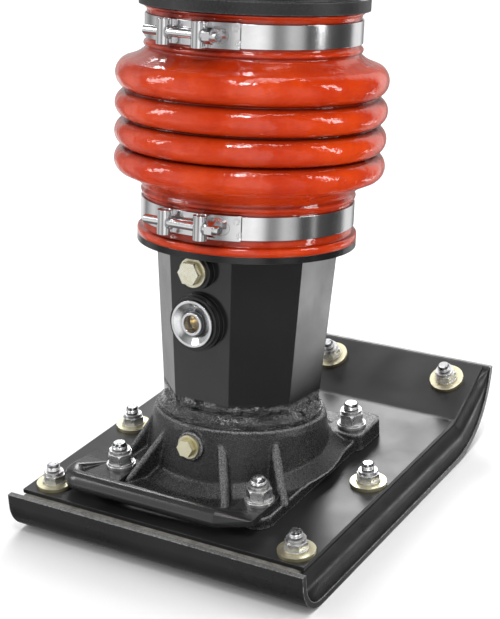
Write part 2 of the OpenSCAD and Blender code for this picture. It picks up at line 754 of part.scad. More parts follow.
module crank_gear() {
    color("#83878c") leaned() {
        difference() {
            along_v(gear_v[0], gear_v[1]) translate([0, crank_w]) gear_outline(gear_teeth, 0);
            // Lightened on the front, and counterweighted by leaving the top of the web whole
            difference() {
                v_cyl(68, gear_v[0] + 12, gear_v[1] + 1, 0, crank_w);
                v_cyl(28, gear_v[0], gear_v[1] + 2, 0, crank_w);
                v_cyl(24, gear_v[0], gear_v[1] + 2, 0, pin_w);
            }
        }
        v_cyl(17.5, gear_v[1] - 1, 80, 0, crank_w);
        v_cyl(pin_r, -rod_half_t, gear_v[0] + 1, 0, pin_w);
    }
}

// Clutch drum with its pinion and shaft in one piece
module clutch_drum() {
    color("#7b7f84") leaned() {
        difference() {
            v_cyl(48, -68, -10, 0, drive_w);
            v_cyl(44, -69, -15, 0, drive_w);
        }
        v_cyl(9, -11, 59, 0, drive_w);
        v_cyl(12.5, -11, -5.3, 0, drive_w);
        along_v(gear_v[0] - 0.5, gear_v[1] + 0.5) translate([0, drive_w])
            gear_outline(pinion_teeth, 180 + 180 / pinion_teeth);
    }
}

module bearing(outer, inner, v0, v1, w) {
    difference() {
        v_cyl(outer, v0, v1, 0, w);
        v_cyl(inner, v0 - 1, v1 + 1, 0, w);
        difference() {
            v_cyl((outer + inner) / 2 + 2, v0 - 1, v0 + 0.8, 0, w);
            v_cyl((outer + inner) / 2 - 2, v0 - 2, v0 + 2, 0, w);
        }
    }
}

module crank_bearings() {
    color("#b7babd") leaned() for (v = [46, 64]) bearing(31, 17.5 + fit, v, v + 15, crank_w);
}

module drum_bearings() {
    color("#b7babd") leaned() for (v = [-5, 45]) bearing(20, 9 + fit, v, v + 14, drive_w);
}

// ---------------------------------------------------------------- crankcase

case_r = [96, 66]; // outer radii round the crank and round the clutch
case_v = [-62, 58];
case_wall = 10;

// Outline of the case, shrunk by inset: two circles and their common tangents
module case_outline(inset) {
    r = [case_r[0] - inset, case_r[1] - inset];
    t = asin((r[0] - r[1]) / centre_distance);
    low = [r[0] * cos(t), crank_w + r[0] * sin(t)];
    high = [r[1] * cos(t), drive_w + r[1] * sin(t)];
    translate([0, crank_w]) circle(r = r[0]);
    translate([0, drive_w]) circle(r = r[1]);
    polygon([low, high, [-high[0], high[1]], [-low[0], low[1]], [0, crank_w]]);
}

// Cover screws, round the crank and round the clutch, as [x, w]
cover_screws = concat(
    [for (a = [-90, -140, -40, -180, 0]) [0, crank_w] + 94 * [cos(a), sin(a)]],
    [for (a = [22, 90, 158]) [0, drive_w] + 65 * [cos(a), sin(a)]]);
flange_screws = [for (a = [35, 145, 215, 325]) [0, drive_w] + 68 * [cos(a), sin(a)]];

module crankcase() {
    color("#222325") leaned() difference() {
        union() {
            difference() {
                union() {
                    w_cyl(rim_r, rim_w, rim_w + rim_t);
                    translate([0, 0, rim_w + rim_t - eps]) cylinder(h = 100, r1 = 88, r2 = 72);
                    w_cyl(cuff_r - bellows_t - 0.1, spigot_w, rim_w + 1);
                    along_v(case_v[0], case_v[1]) case_outline(0);
                    v_cyl(case_r[1], mount_v, case_v[0] + 1, 0, drive_w);
                    for (p = cover_screws) v_cyl(9, case_v[0] + 40, case_v[1], p[0], p[1]);
                    for (p = flange_screws) v_cyl(11, mount_v, mount_v + 22, p[0], p[1]);
                    for (s = [-1, 1]) x_cyl(24, s * 88 - 18, s * 88 + 18, 0, pivot_w);
                    for (w = [452, 470, 488]) w_cyl(90.5 - (w - 421) * 0.11, w, w + 4);
                    v_cyl(15, case_v[0] - 10, case_v[0], -48, 560);
                }
                along_v(case_v[0] + 12, case_v[1] + 1) case_outline(case_wall);
                v_cyl(54, mount_v - 1, 0, 0, drive_w);
                box(-56, 56, -44, 44, rim_w + 12, 560);
                w_cyl(79, spigot_w - 1, rim_w);
                // Recess round the cover and its screws
                along_v(case_v[1], case_v[1] + 60) case_outline(-10);
            }
            // Inner wall that holds the clutch pinion's rear bearing
            intersection() {
                along_v(-6, 12) case_outline(case_wall - 1);
                box(-80, 80, -10, 20, 648, 800);
            }
        }
        w_cyl(guide_ro + fit, rim_w - 1, rim_w + 20);
        v_cyl(20.05, -5, 13, 0, drive_w);
        v_cyl(13.5, -8, 0, 0, drive_w);
        for (p = cover_screws) v_cyl(3.3, case_v[1] - 26, case_v[1] + 1, p[0], p[1]);
        for (p = flange_screws) v_cyl(3.3, mount_v - 1, mount_v + 23, p[0], p[1]);
    }
}

module crankcase_cover() {
    color("#2a2b2e") leaned() difference() {
        union() {
            along_v(case_v[1], case_v[1] + 9) case_outline(0);
            for (p = cover_screws) v_cyl(9, case_v[1], case_v[1] + 9, p[0], p[1]);
            v_cyl(38, 44, 84, 0, crank_w);
            v_cyl(26, 44, 74, 0, drive_w);
            for (a = [0:45:315]) translate([0, 0, crank_w]) rotate([0, a + 22.5, 0])
                box(30, 82, case_v[1] + 5, 76, -2.5, 2.5);
        }
        v_cyl(31.05, 43, 80, 0, crank_w);
        v_cyl(20.05, 43, 60, 0, drive_w);
        difference() {
            along_v(70, 90) case_outline(-20);
            v_cyl(39, 60, 90, 0, crank_w);
            v_cyl(28, 60, 90, 0, drive_w);
            for (a = [0:45:315]) translate([0, 0, crank_w]) rotate([0, a + 22.5, 0])
                translate([30, 70, -3]) rotate([0, 0, -7]) translate([0, -10, 0]) cube([60, 14, 6]);
        }
        for (p = cover_screws) v_cyl(4.3, case_v[1] - 1, case_v[1] + 10, p[0], p[1]);
    }
}

module crankcase_bolts() {
    color("#b5b8bb") leaned() {
        for (p = cover_screws) translate([p[0], case_v[1] + 9, p[1]]) rotate([-90, 0, 0]) {
            flange_head(16, 12, 7);
            translate([0, 0, -33]) cylinder(h = 33.1, r = 3.2);
        }
        for (p = flange_screws) translate([p[0], mount_v - 8, p[1]]) rotate([90, 0, 0]) {
            flange_head(16, 12, 7);
            translate([0, 0, -28]) cylinder(h = 28.1, r = 3.2);
        }
    }
}

// ---------------------------------------------------------------- engine

shaft_r = 12;
bore_v = -152; // the engine cylinder's axis, along v

module engine_shaft() {
    color("#9a9da1") leaned() {
        v_cyl(shaft_r - fit, -196, -172, 0, drive_w);
        v_cyl(shaft_r - fit, -132, -22, 0, drive_w);
        // Webs with the crank pin at the bottom
        for (v = [-174, -142]) v_cyl(31, v, v + 12, 0, drive_w);
        v_cyl(10, -163, -141, 0, drive_w - 17);
        v_cyl(9, -262, -195, 0, drive_w);
        // Flywheel with its fan blades
        v_cyl(64, -232, -216, 0, drive_w);
        v_cyl(20, -216, -206, 0, drive_w);
        for (a = [0:30:330]) translate([0, 0, drive_w]) rotate([0, a, 0]) box(36, 62, -244, -231, -1.5, 1.5);
        // Clutch hub
        v_cyl(15, -64, -24, 0, drive_w);
    }
}

module clutch_shoes() {
    color("#5f5348") leaned() difference() {
        v_cyl(43.5, -62, -26, 0, drive_w);
        v_cyl(15, -64, -20, 0, drive_w);
        box(-2, 2, -64, -20, drive_w - 50, drive_w + 50);
    }
}

module engine_block() {
    color("#a7a9ab") leaned() difference() {
        union() {
            v_cyl(74, mount_v - 8, mount_v, 0, drive_w);
            for (p = flange_screws) v_cyl(11, mount_v - 8, mount_v, p[0], p[1]);
            rotate([90, 0, 0]) translate([0, 0, -block_v[1]])
                slab(-68, 68, 618, 742, 0, block_v[1] - block_v[0], 16);
            for (s = [-1, 1], w = [640, 665, 690]) box(s * 69.5 - 2.5, s * 69.5 + 2.5, -190, -125, w, w + 4);
            v_cyl(17, block_v[0] - 8, block_v[0], -40, 640);
        }
        v_cyl(40, -184, -120, 0, drive_w);
        v_cyl(shaft_r, -201, -90, 0, drive_w);
        for (p = flange_screws) v_cyl(4.3, mount_v - 9, mount_v + 1, p[0], p[1]);
        for (p = flange_screws) v_cyl(14, block_v[1] - 15, block_v[1], p[0], p[1]);
    }
}

module engine_cylinder() {
    fins = 9;
    pitch = 9.6;
    color("#9da0a3") leaned() difference() {
        union() {
            w_cyl(35, 742, 838, 0, bore_v);
            for (i = [0:fins - 1])
                slab(-52, 52, bore_v - 45, bore_v + 45, 748 + i * pitch, 750.6 + i * pitch, 14);
            slab(-42, 42, bore_v - 38, bore_v + 38, 832, 838, 10);
            for (x = [-30, 30], v = [-28, 28]) w_cyl(6, 742, 838, x, bore_v + v);
            x_cyl(16, 30, 54, bore_v, port_w);
            x_cyl(16, -54, -30, bore_v, port_w);
        }
        at_plug() translate([0, 0, -31]) cylinder(h = 32, r = 5 + fit);
        at_plug() cylinder(h = 30, r = 11);
    }
}

// Puts children on the spark plug's axis, with z = 0 at its seat, pointing out and up
module at_plug() { translate([0, bore_v - 34, 812]) rotate([58, 0, 0]) children(); }

module rocker_cover() {
    color("#2b2c2f") leaned() {
        pillow(-40, 40, bore_v - 35, bore_v + 35, 838.1, 874, 9);
        for (x = [-30, 30]) w_cyl(5, 868, 877, x, bore_v);
    }
}

module starter_housing() {
    color("#232427") leaned() difference() {
        union() {
            v_cyl(80, -262, -201, 0, drive_w);
            v_cyl(66, -272, -261, 0, drive_w);
            w_cyl(13, drive_w + 58, drive_w + 84, grip_at[0], grip_at[1]);
        }
        v_cyl(74, -256, -200, 0, drive_w);
        v_cyl(9.5, -264, -200, 0, drive_w);
        for (a = [0:30:330]) translate([0, 0, drive_w]) rotate([0, a, 0]) box(34, 58, -280, -250, -3, 3);
        w_cyl(4, drive_w + 50, drive_w + 90, grip_at[0], grip_at[1]);
    }
}

grip_w = drive_w + 84 + gap;

module starter_grip() {
    color("#1b1c1e") leaned() {
        w_cyl(10, grip_w, grip_w + 12, grip_at[0], grip_at[1]);
        hull() for (s = [-30, 30]) translate([grip_at[0] + s, grip_at[1], grip_w + 18])
            sphere(r = 9, $fn = 24);
    }
}

module muffler() {
    color("#6a6560") leaned() {
        pillow(-140, -74, -196, -112, 744, 836, 12);
        x_cyl(14, -76, -54, bore_v, port_w);
        translate([-110, -196 + 12, 760]) rotate([60, 0, 0]) cylinder(h = 34, r = 9);
    }
}

module muffler_guard() {
    color("#2c2d30") leaned() difference() {
        union() {
            box(-149, -147, -200, -108, 740, 842);
            box(-149, -80, -200, -108, 840, 842);
            for (w = [760, 810]) box(-148, -140, -158, -146, w, w + 12);
        }
        for (i = [0:6]) box(-160, -140, -194 + i * 12.5, -188 + i * 12.5, 752, 800);
        for (i = [0:6]) box(-140, -90, -194 + i * 12.5, -188 + i * 12.5, 830, 850);
    }
}

module carburetor() {
    color("#b3b5b6") leaned() {
        box(54.1, 60, bore_v - 22, bore_v + 22, 770, 810);
        x_cyl(14, 59, 98, bore_v, port_w);
        w_cyl(15, 752, 782, 78, bore_v);
        box(66, 90, bore_v - 16, bore_v + 18, 778, 806);
    }
}

module air_cleaner() {
    color("#1f2022") leaned() pillow(98.2, 160, -204, -104, 748, 846, 14);
}

// Drawn fully open, leaning towards the engine
module choke_lever() {
    color("#8c9094") leaned() translate([78, bore_v + 18 + gap, 798]) rotate([0, -30, 0]) {
        v_cyl(6, 0, 4);
        box(-4, 4, 0, 3, 0, 22);
        v_cyl(5.5, 0, 7, 0, 24);
    }
}

module spark_plug() {
    color("#d8d4cb") leaned() at_plug() {
        translate([0, 0, -18]) cylinder(h = 19, r = 5);
        hex_prism(16, 8);
        cylinder(h = 26, r = 6);
        translate([0, 0, 20]) cylinder(h = 24, r = 9.5);
    }
}

// ---------------------------------------------------------------- handle

pivot_r = 8;

// Rubber bush with a steel stud, on each side of the crankcase
module handle_mounts() {
    color("#2f2f31") leaned() for (s = [0, 1]) mirror([s, 0, 0]) {
        x_cyl(22, mount_x[0], mount_x[1], 0, pivot_w);
        x_cyl(pivot_r - fit, mount_x[1] - 1, 155, 0, pivot_w);
        x_cyl(13, 148.4, 154, 0, pivot_w);
    }
}

arm_eye = [mount_x[1] + 0.4, 148];
arm_half = 17;
arm_t = 8;

// A flat steel arm seen from behind, cranked outwards from its eye to the loop
module arm_side() {
    low_x = arm_eye[0] + 4;
    high_x = handle_half - arm_t / 2;
    bends = [690, 790];
    polygon([[low_x, pivot_w - 12], [low_x + arm_t, pivot_w - 12], [low_x + arm_t, bends[0]],
        [high_x + arm_t, bends[1]], [high_x + arm_t, loop_w], [high_x, loop_w],
        [high_x, bends[1] + 4], [low_x, bends[0] + 4]]);
}

// A corner of the loop, from its straight side to its end
module loop_bend(at_front) {
    v = at_front ? loop_front - loop_corner : loop_rear + loop_corner;
    translate([handle_half - loop_corner, v, loop_w]) rotate(at_front ? 0 : -90)
        rotate_extrude(angle = 90) translate([loop_corner, 0]) circle(r = tube_r);
}

module handle_frame() {
    color("#26272a") leaned() difference() {
        union() {
            for (s = [-1, 1]) v_cyl(tube_r, loop_rear + loop_corner, loop_front - loop_corner,
                s * handle_half, loop_w);
            for (s = [0, 1]) mirror([s, 0, 0]) along_v(-arm_half, arm_half) arm_side();
            for (v = [loop_rear, loop_front])
                x_cyl(tube_r, -handle_half + loop_corner, handle_half - loop_corner, v, loop_w);
            for (s = [0, 1], at_front = [true, false]) mirror([s, 0, 0]) loop_bend(at_front);
            for (s = [0, 1]) mirror([s, 0, 0]) x_cyl(20, arm_eye[0], arm_eye[1], 0, pivot_w);
            // Cross bar and tray for the fuel tank
            x_cyl(9, -174, 174, -10, 774);
            slab(-100, 100, -46, 62, 782, 786, 12);
            // Block for the throttle lever
            slab(handle_half - 12, handle_half + 15, -316, -284, loop_w + 4, loop_w + 34, 6);
        }
        x_cyl(pivot_r, -200, 200, 0, pivot_w);
        x_cyl(5, 160, 230, throttle_at[0], throttle_at[1]);
    }
}

module handle_grips() {
    color("#141415") leaned() difference() {
        union() {
            x_cyl(17.5, -115, 115, loop_rear, loop_w);
            for (x = [-115, 110]) x_cyl(20, x, x + 5, loop_rear, loop_w);
        }
        x_cyl(tube_r + 0.02, -120, 120, loop_rear, loop_w);
    }
}

module handle_roller() {
    color("#303133") leaned() difference() {
        union() {
            x_cyl(20, -70, 70, loop_front, loop_w);
            for (x = [-74, 66]) x_cyl(23, x, x + 8, loop_front, loop_w);
        }
        x_cyl(tube_r + fit, -80, 80, loop_front, loop_w);
    }
}

module throttle_lever() {
    color("#a02020") leaned() translate([0, throttle_at[0], throttle_at[1]]) {
        x_cyl(5 - fit, 178, 206);
        x_cyl(13, handle_half + 15 + gap, 208);
        rotate([35, 0, 0]) {
            box(201, 206, -7, 7, 0, 52);
            translate([203.5, 0, 56]) sphere(r = 11);
        }
    }
}

tank_top_w = 878;

module fuel_tank() {
    color("#d23c1a") leaned() {
        difference() {
            union() {
                pillow(-108, 108, -48, 66, 786.1, tank_top_w, 18);
                w_cyl(26, tank_top_w - 6, tank_top_w, 0, filler_v);
                w_cyl(20, tank_top_w - 1, tank_top_w + 10, 0, filler_v);
            }
            pillow(-105, 105, -45, 63, 789, tank_top_w - 3, 15.5);
            w_cyl(16, tank_top_w - 12, tank_top_w + 11, 0, filler_v);
        }
        v_cyl(8, 64, 76, tap_at[0], tap_at[1]);
    }
}

module fuel_cap() {
    color("#1a1a1b") leaned() difference() {
        union() {
            w_cyl(27, tank_top_w + gap, tank_top_w + 20, 0, filler_v);
            for (a = [0:30:330]) translate([0, filler_v, 0]) rotate(a)
                w_cyl(3, tank_top_w + gap, tank_top_w + 18, 26, 0);
        }
        w_cyl(20 + fit, tank_top_w - 1, tank_top_w + 12, 0, filler_v);
    }
}

module fuel_tap() {
    color("#c23a1e") leaned() {
        v_cyl(9, 76 + gap, 84, tap_at[0], tap_at[1]);
        box(tap_at[0] - 4, tap_at[0] + 4, 76 + gap, 83, tap_at[1] - 22, tap_at[1]);
    }
}

sole_plate();
shoe_core();
shoe_top_plate();
shoe_bolts();
shoe_washers();
shoe_nuts();
foot_casting();
foot_studs();
foot_washers();
foot_nuts();
carry_handle();
drain_plug();
level_plug();
leg_housing();
sight_glass_body();
sight_glass_lens();
sight_glass_reflector();
bellows();
lower_clamp_band();
lower_clamp_trunnions();
lower_clamp_bolt();
spring_cylinder();
spring_cylinder_cap();
upper_springs();
lower_springs();
upper_clamp_band();
upper_clamp_trunnions();
upper_clamp_bolt();
guide_cylinder();
crankcase();
crankcase_cover();
crankcase_bolts();
crank_bearings();
drum_bearings();
piston();
piston_rod();
crank_gear();
con_rod();
clutch_drum();
engine_shaft();
clutch_shoes();
engine_block();
engine_cylinder();
rocker_cover();
starter_housing();
starter_grip();
muffler();
muffler_guard();
carburetor();
air_cleaner();
choke_lever();
spark_plug();
handle_mounts();
handle_frame();
handle_grips();
handle_roller();
throttle_lever();
fuel_tank();
fuel_cap();
fuel_tap();
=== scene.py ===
"""A jumping jack rammer in a plain studio.

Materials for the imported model, and the pieces that need finer meshes than it has.

Metres, in the model's own frame: +X is the machine's right, +Y the direction of travel, +Z up.
"""
import math

import bmesh
import bpy
from mathutils import Matrix, Vector


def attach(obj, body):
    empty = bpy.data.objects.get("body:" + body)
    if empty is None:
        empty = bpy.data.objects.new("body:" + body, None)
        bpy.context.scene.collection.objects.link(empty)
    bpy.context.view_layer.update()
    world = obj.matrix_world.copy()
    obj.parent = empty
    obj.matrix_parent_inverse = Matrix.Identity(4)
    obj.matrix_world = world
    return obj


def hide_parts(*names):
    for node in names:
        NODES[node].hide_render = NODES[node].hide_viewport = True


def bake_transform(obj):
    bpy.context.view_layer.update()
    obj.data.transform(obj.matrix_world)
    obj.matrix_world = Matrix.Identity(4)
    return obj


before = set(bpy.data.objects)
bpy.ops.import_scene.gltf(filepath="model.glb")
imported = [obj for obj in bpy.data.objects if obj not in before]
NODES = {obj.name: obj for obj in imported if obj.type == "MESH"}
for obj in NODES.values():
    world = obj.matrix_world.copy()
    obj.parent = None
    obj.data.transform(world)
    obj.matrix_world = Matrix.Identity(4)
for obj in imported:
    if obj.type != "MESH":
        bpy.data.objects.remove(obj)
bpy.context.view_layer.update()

# The percussion axis leans forwards, and crosses x = y = 0 a little above the floor
LEAN = math.radians(9.3)
AXIS_Z = 0.0055
AXIS_FOOT = Vector((0, 0, AXIS_Z))
LEANED = Matrix.Translation(AXIS_FOOT) @ Matrix.Rotation(-LEAN, 4, "X")
MM = 0.001
CAMERA_AT = Vector((0.6778, -1.0286, 0.7027))


# ---------------------------------------------------------------- camera, lights and floor

def make_camera():
    data = bpy.data.cameras.new("camera")
    data.sensor_width = 36
    data.lens = 94.0
    data.shift_y = -0.0467
    data.clip_end = 50
    camera = bpy.data.objects.new("camera", data)
    bpy.context.scene.collection.objects.link(camera)
    right = Vector((0.8535, 0.5189, -0.0482)).normalized()
    forward = Vector((-0.4971, 0.7830, -0.3739)).normalized()
    up = right.cross(forward).normalized()
    right = forward.cross(up)
    turn = Matrix((right, up, -forward)).transposed().to_4x4()
    camera.matrix_world = Matrix.Translation(CAMERA_AT) @ turn
    bpy.context.scene.camera = camera


def area_light(name, place, target, size, power):
    data = bpy.data.lights.new(name, "AREA")
    data.shape = "RECTANGLE"
    data.size, data.size_y = size
    data.energy = power
    light = bpy.data.objects.new(name, data)
    bpy.context.scene.collection.objects.link(light)
    light.location = place
    light.rotation_euler = (Vector(target) - Vector(place)).to_track_quat("-Z", "Y").to_euler()
    return light


def make_lights():
    middle = (0, 0.05, 0.35)
    lights = [
        area_light("key_left", (-1.7, -1.2, 1.3), middle, (0.4, 1.2), 14),
        area_light("strip_right", (1.8, 0.5, 0.9), middle, (0.25, 1.4), 12),
        area_light("key_rear", (0.55, -0.95, 2.3), (0, 0, 0.25), (0.38, 0.6), 18),
        area_light("beyond", (-0.58, 1.25, 0.75), (0.1, 0.0, 0.04), (0.55, 0.5), 6),
        area_light("beyond_strip", (-0.75, 1.05, 1.20), (0.1, 0.15, 0.05), (1.0, 0.10), 6),
        area_light("top", (0.1, 0.3, 2.6), (0, 0, 0), (1.6, 1.6), 48),
    ]
    for light in lights:
        light.visible_camera = False


CAMERA_SIDE = math.atan2(CAMERA_AT.y, CAMERA_AT.x)
# Brightness of the room round the machine, as (degrees round from the camera's side, brightness)
ROOM_PANELS = [
    (-180, 0.50), (-157, 0.60), (-140, 0.20), (-120, 0.80), (-100, 0.20), (-67, 0.85), (-45, 0.50),
    (-30, 0.22), (-20, 0.85), (3, 1.25), (12, 0.95), (19, 0.25), (27, 0.30), (36, 0.70), (47, 0.55),
    (54, 0.07), (67, 0.09), (71, 0.60), (75, 0.08), (100, 0.06), (117, 0.12), (126, 1.00),
    (145, 1.00), (155, 0.30), (180, 0.50)]
# Low bright patches: from and to in degrees round, from and to in sine of the slope, brightness
LOW_PATCHES = [
    (106, 130, -0.50, -0.38, 3.6), (-176, -140, -0.55, -0.22, 0.35), (-90, -50, -0.40, -0.20, 0.5)]
PATCH_SIDE = math.radians(7)  # width of a patch's soft sides
PATCH_END = 0.05


def make_world():
    """A room of bright and dark panels for the reflections, plain white where the camera sees it."""
    world = bpy.data.worlds.new("studio")
    bpy.context.scene.world = world
    world.use_nodes = True
    tree = world.node_tree
    tree.nodes.clear()

    def ramped(value, low, high, start, end):
        made = tree.nodes.new("ShaderNodeMapRange")
        made.interpolation_type = "SMOOTHSTEP"
        tree.links.new(value, made.inputs["Value"])
        made.inputs["From Min"].default_value = low
        made.inputs["From Max"].default_value = high
        made.inputs["To Min"].default_value = start
        made.inputs["To Max"].default_value = end
        return made.outputs[0]

    turned = tree.nodes.new("ShaderNodeMapping")
    turned.inputs["Rotation"].default_value = (0, 0, -CAMERA_SIDE)
    tree.links.new(tree.nodes.new("ShaderNodeTexCoord").outputs["Generated"], turned.inputs["Vector"])
    split = tree.nodes.new("ShaderNodeSeparateXYZ")
    tree.links.new(turned.outputs[0], split.inputs[0])
    bearing = tree.nodes.new("ShaderNodeMath")
    bearing.operation = "ARCTAN2"
    tree.links.new(split.outputs["Y"], bearing.inputs[0])
    tree.links.new(split.outputs["X"], bearing.inputs[1])
    around = tree.nodes.new("ShaderNodeMapRange")
    tree.links.new(bearing.outputs[0], around.inputs["Value"])
    around.inputs["From Min"].default_value = -math.pi
    around.inputs["From Max"].default_value = math.pi
    panels = tree.nodes.new("ShaderNodeValToRGB")
    tree.links.new(around.outputs[0], panels.inputs[0])
    stops = panels.color_ramp.elements
    while len(stops) < len(ROOM_PANELS):
        stops.new(0.5)
    for stop, (degrees, bright) in zip(stops, ROOM_PANELS):
        stop.position = (degrees + 180) / 360
        stop.color = (bright, bright, bright, 1)
    ceiling = ramped(split.outputs["Z"], 0.35, 0.8, 1.0, 0.45)
    below = ramped(split.outputs["Z"], -0.75, -0.2, 0.35, 1.0)

    def combined(operation, a, b):
        made = tree.nodes.new("ShaderNodeMath")
        made.operation = operation
        tree.links.new(a, made.inputs[0])
        tree.links.new(b, made.inputs[1])
        return made.outputs[0]

    level = combined("MULTIPLY", combined("MULTIPLY", ceiling, below), panels.outputs[0])
    for start, end, low, high, bright in LOW_PATCHES:
        start = math.radians(start)
        end = math.radians(end)
        sides = combined("MULTIPLY", ramped(bearing.outputs[0], start, start + PATCH_SIDE, 0, 1),
                         ramped(bearing.outputs[0], end - PATCH_SIDE, end, 1, 0))
        ends = combined("MULTIPLY", ramped(split.outputs["Z"], low, low + PATCH_END, 0, bright),
                        ramped(split.outputs["Z"], high - PATCH_END, high, 1, 0))
        level = combined("ADD", level, combined("MULTIPLY", sides, ends))
    room = tree.nodes.new("ShaderNodeBackground")
    room.inputs["Color"].default_value = (1, 1, 1, 1)
    tree.links.new(level, room.inputs["Strength"])
    seen = tree.nodes.new("ShaderNodeBackground")
    seen.inputs["Color"].default_value = (1, 1, 1, 1)
    mix = tree.nodes.new("ShaderNodeMixShader")
    tree.links.new(tree.nodes.new("ShaderNodeLightPath").outputs["Is Camera Ray"], mix.inputs[0])
    tree.links.new(room.outputs[0], mix.inputs[1])
    tree.links.new(seen.outputs[0], mix.inputs[2])
    tree.links.new(mix.outputs[0], tree.nodes.new("ShaderNodeOutputWorld").inputs[0])
    bpy.context.scene.view_settings.view_transform = "Standard"


def make_floor():
    bpy.ops.mesh.primitive_plane_add(size=30, location=(0, 0, 0))
    floor = bpy.context.object
    floor.name = "floor"
    paint = Paint("floor_paper")
    colour = paint.mix_colour(paint.noise(3, 3), (0.86, 0.86, 0.865), (0.90, 0.90, 0.90))
    away = paint.node("ShaderNodeVectorMath", operation="LENGTH")
    paint.feed(away.inputs[0], paint.coords)
    paint.surface(colour, roughness=0.6, Emission_Color=(1, 1, 1),
                  Emission_Strength=paint.ramp(away.outputs["Value"], 0.7, 3.0, 0.0, 0.75))
    floor.data.materials.append(paint.material)
    floor.visible_glossy = False


# ---------------------------------------------------------------- building materials

class Paint:
    """A node material, built up by calls. Scales are in cycles per metre."""

    def __init__(self, name):
        self.material = bpy.data.materials.new(name)
        self.material.use_nodes = True
        self.tree = self.material.node_tree
        self.shader = self.tree.nodes["Principled BSDF"]
        self.coords = self.tree.nodes.new("ShaderNodeTexCoord").outputs["Object"]

    def node(self, kind, **values):
        made = self.tree.nodes.new(kind)
        for key, value in values.items():
            setattr(made, key, value)
        return made

    def feed(self, socket, value):
        if isinstance(value, bpy.types.NodeSocket):
            self.tree.links.new(value, socket)
        elif isinstance(value, (tuple, list)) and len(value) == 3 and socket.type == "RGBA":
            socket.default_value = (*value, 1)
        else:
            socket.default_value = value

    def math(self, operation, a, b):
        made = self.node("ShaderNodeMath", operation=operation)
        self.feed(made.inputs[0], a)
        self.feed(made.inputs[1], b)
        return made.outputs[0]

    def place(self, turn=(0, 0, 0), scale=(1, 1, 1), shift=(0, 0, 0)):
        made = self.node("ShaderNodeMapping")
        self.feed(made.inputs["Vector"], self.coords)
        made.inputs["Rotation"].default_value = turn
        made.inputs["Scale"].default_value = scale
        made.inputs["Location"].default_value = shift
        return made.outputs[0]

    def noise(self, scale, detail=3.0, rough=0.55, vector=None, distortion=0.0):
        made = self.node("ShaderNodeTexNoise")
        self.feed(made.inputs["Vector"], vector or self.coords)
        made.inputs["Scale"].default_value = scale
        made.inputs["Detail"].default_value = detail
        made.inputs["Roughness"].default_value = rough
        made.inputs["Distortion"].default_value = distortion
        return made.outputs["Fac"]

    def cells(self, scale):
        made = self.node("ShaderNodeTexVoronoi")
        self.feed(made.inputs["Vector"], self.coords)
        made.inputs["Scale"].default_value = scale
        return made.outputs["Distance"]

    def ramp(self, value, low, high, start=0.0, end=1.0):
        made = self.node("ShaderNodeMapRange", clamp=True)
        self.feed(made.inputs["Value"], value)
        made.inputs["From Min"].default_value = low
        made.inputs["From Max"].default_value = high
        made.inputs["To Min"].default_value = start
        made.inputs["To Max"].default_value = end
        return made.outputs[0]

    def mix_colour(self, factor, a, b):
        made = self.node("ShaderNodeMix", data_type="RGBA")
        self.feed(made.inputs[0], factor)
        self.feed(made.inputs[6], a)
        self.feed(made.inputs[7], b)
        return made.outputs[2]

    def edges(self, radius, low=0.0, high=0.25):
        """1 on a convex or concave edge, 0 on a flat."""
        bevel = self.node("ShaderNodeBevel", samples=6)
        bevel.inputs["Radius"].default_value = radius
        normal = self.node("ShaderNodeNewGeometry").outputs["Normal"]
        dot = self.node("ShaderNodeVectorMath", operation="DOT_PRODUCT")
        self.feed(dot.inputs[0], bevel.outputs[0])
        self.feed(dot.inputs[1], normal)
        return self.ramp(self.math("SUBTRACT", 1.0, dot.outputs["Value"]), low, high)

    def ridges(self, low, high):
        """1 along the outer edges of a finely meshed piece."""
        return self.ramp(self.node("ShaderNodeNewGeometry").outputs["Pointiness"], low, high)

    def crevices(self, distance):
        """1 in the open, falling to 0 where other surfaces are close."""
        made = self.node("ShaderNodeAmbientOcclusion", samples=6)
        made.inputs["Distance"].default_value = distance
        return made.outputs["AO"]

    def upward(self):
        split = self.node("ShaderNodeSeparateXYZ")
        self.feed(split.inputs[0], self.node("ShaderNodeNewGeometry").outputs["Normal"])
        return split.outputs["Z"]

    def axis_parts(self):
        """x, v and w of the leaned frame."""
        split = self.node("ShaderNodeSeparateXYZ")
        foot = (0, AXIS_Z * math.sin(LEAN), -AXIS_Z * math.cos(LEAN))
        self.feed(split.inputs[0], self.place(turn=(LEAN, 0, 0), shift=foot))
        return split.outputs

    def bump(self, height, distance, strength=1.0, below=None):
        made = self.node("ShaderNodeBump")
        self.feed(made.inputs["Height"], height)
        made.inputs["Distance"].default_value = distance
        made.inputs["Strength"].default_value = strength
        if below is not None:
            self.feed(made.inputs["Normal"], below)
        return made.outputs[0]

    def soft_edge(self, radius):
        made = self.node("ShaderNodeBevel", samples=6)
        made.inputs["Radius"].default_value = radius
        return made.outputs[0]

    def surface(self, colour, roughness=0.5, metallic=0.0, normal=None, **sockets):
        self.feed(self.shader.inputs["Base Color"], colour)
        self.feed(self.shader.inputs["Roughness"], roughness)
        self.feed(self.shader.inputs["Metallic"], metallic)
        if normal is not None:
            self.feed(self.shader.inputs["Normal"], normal)
            if "Coat_Weight" in sockets:
                self.feed(self.shader.inputs["Coat Normal"], normal)
        for key, value in sockets.items():
            self.feed(self.shader.inputs[key.replace("_", " ")], value)
        return self.material


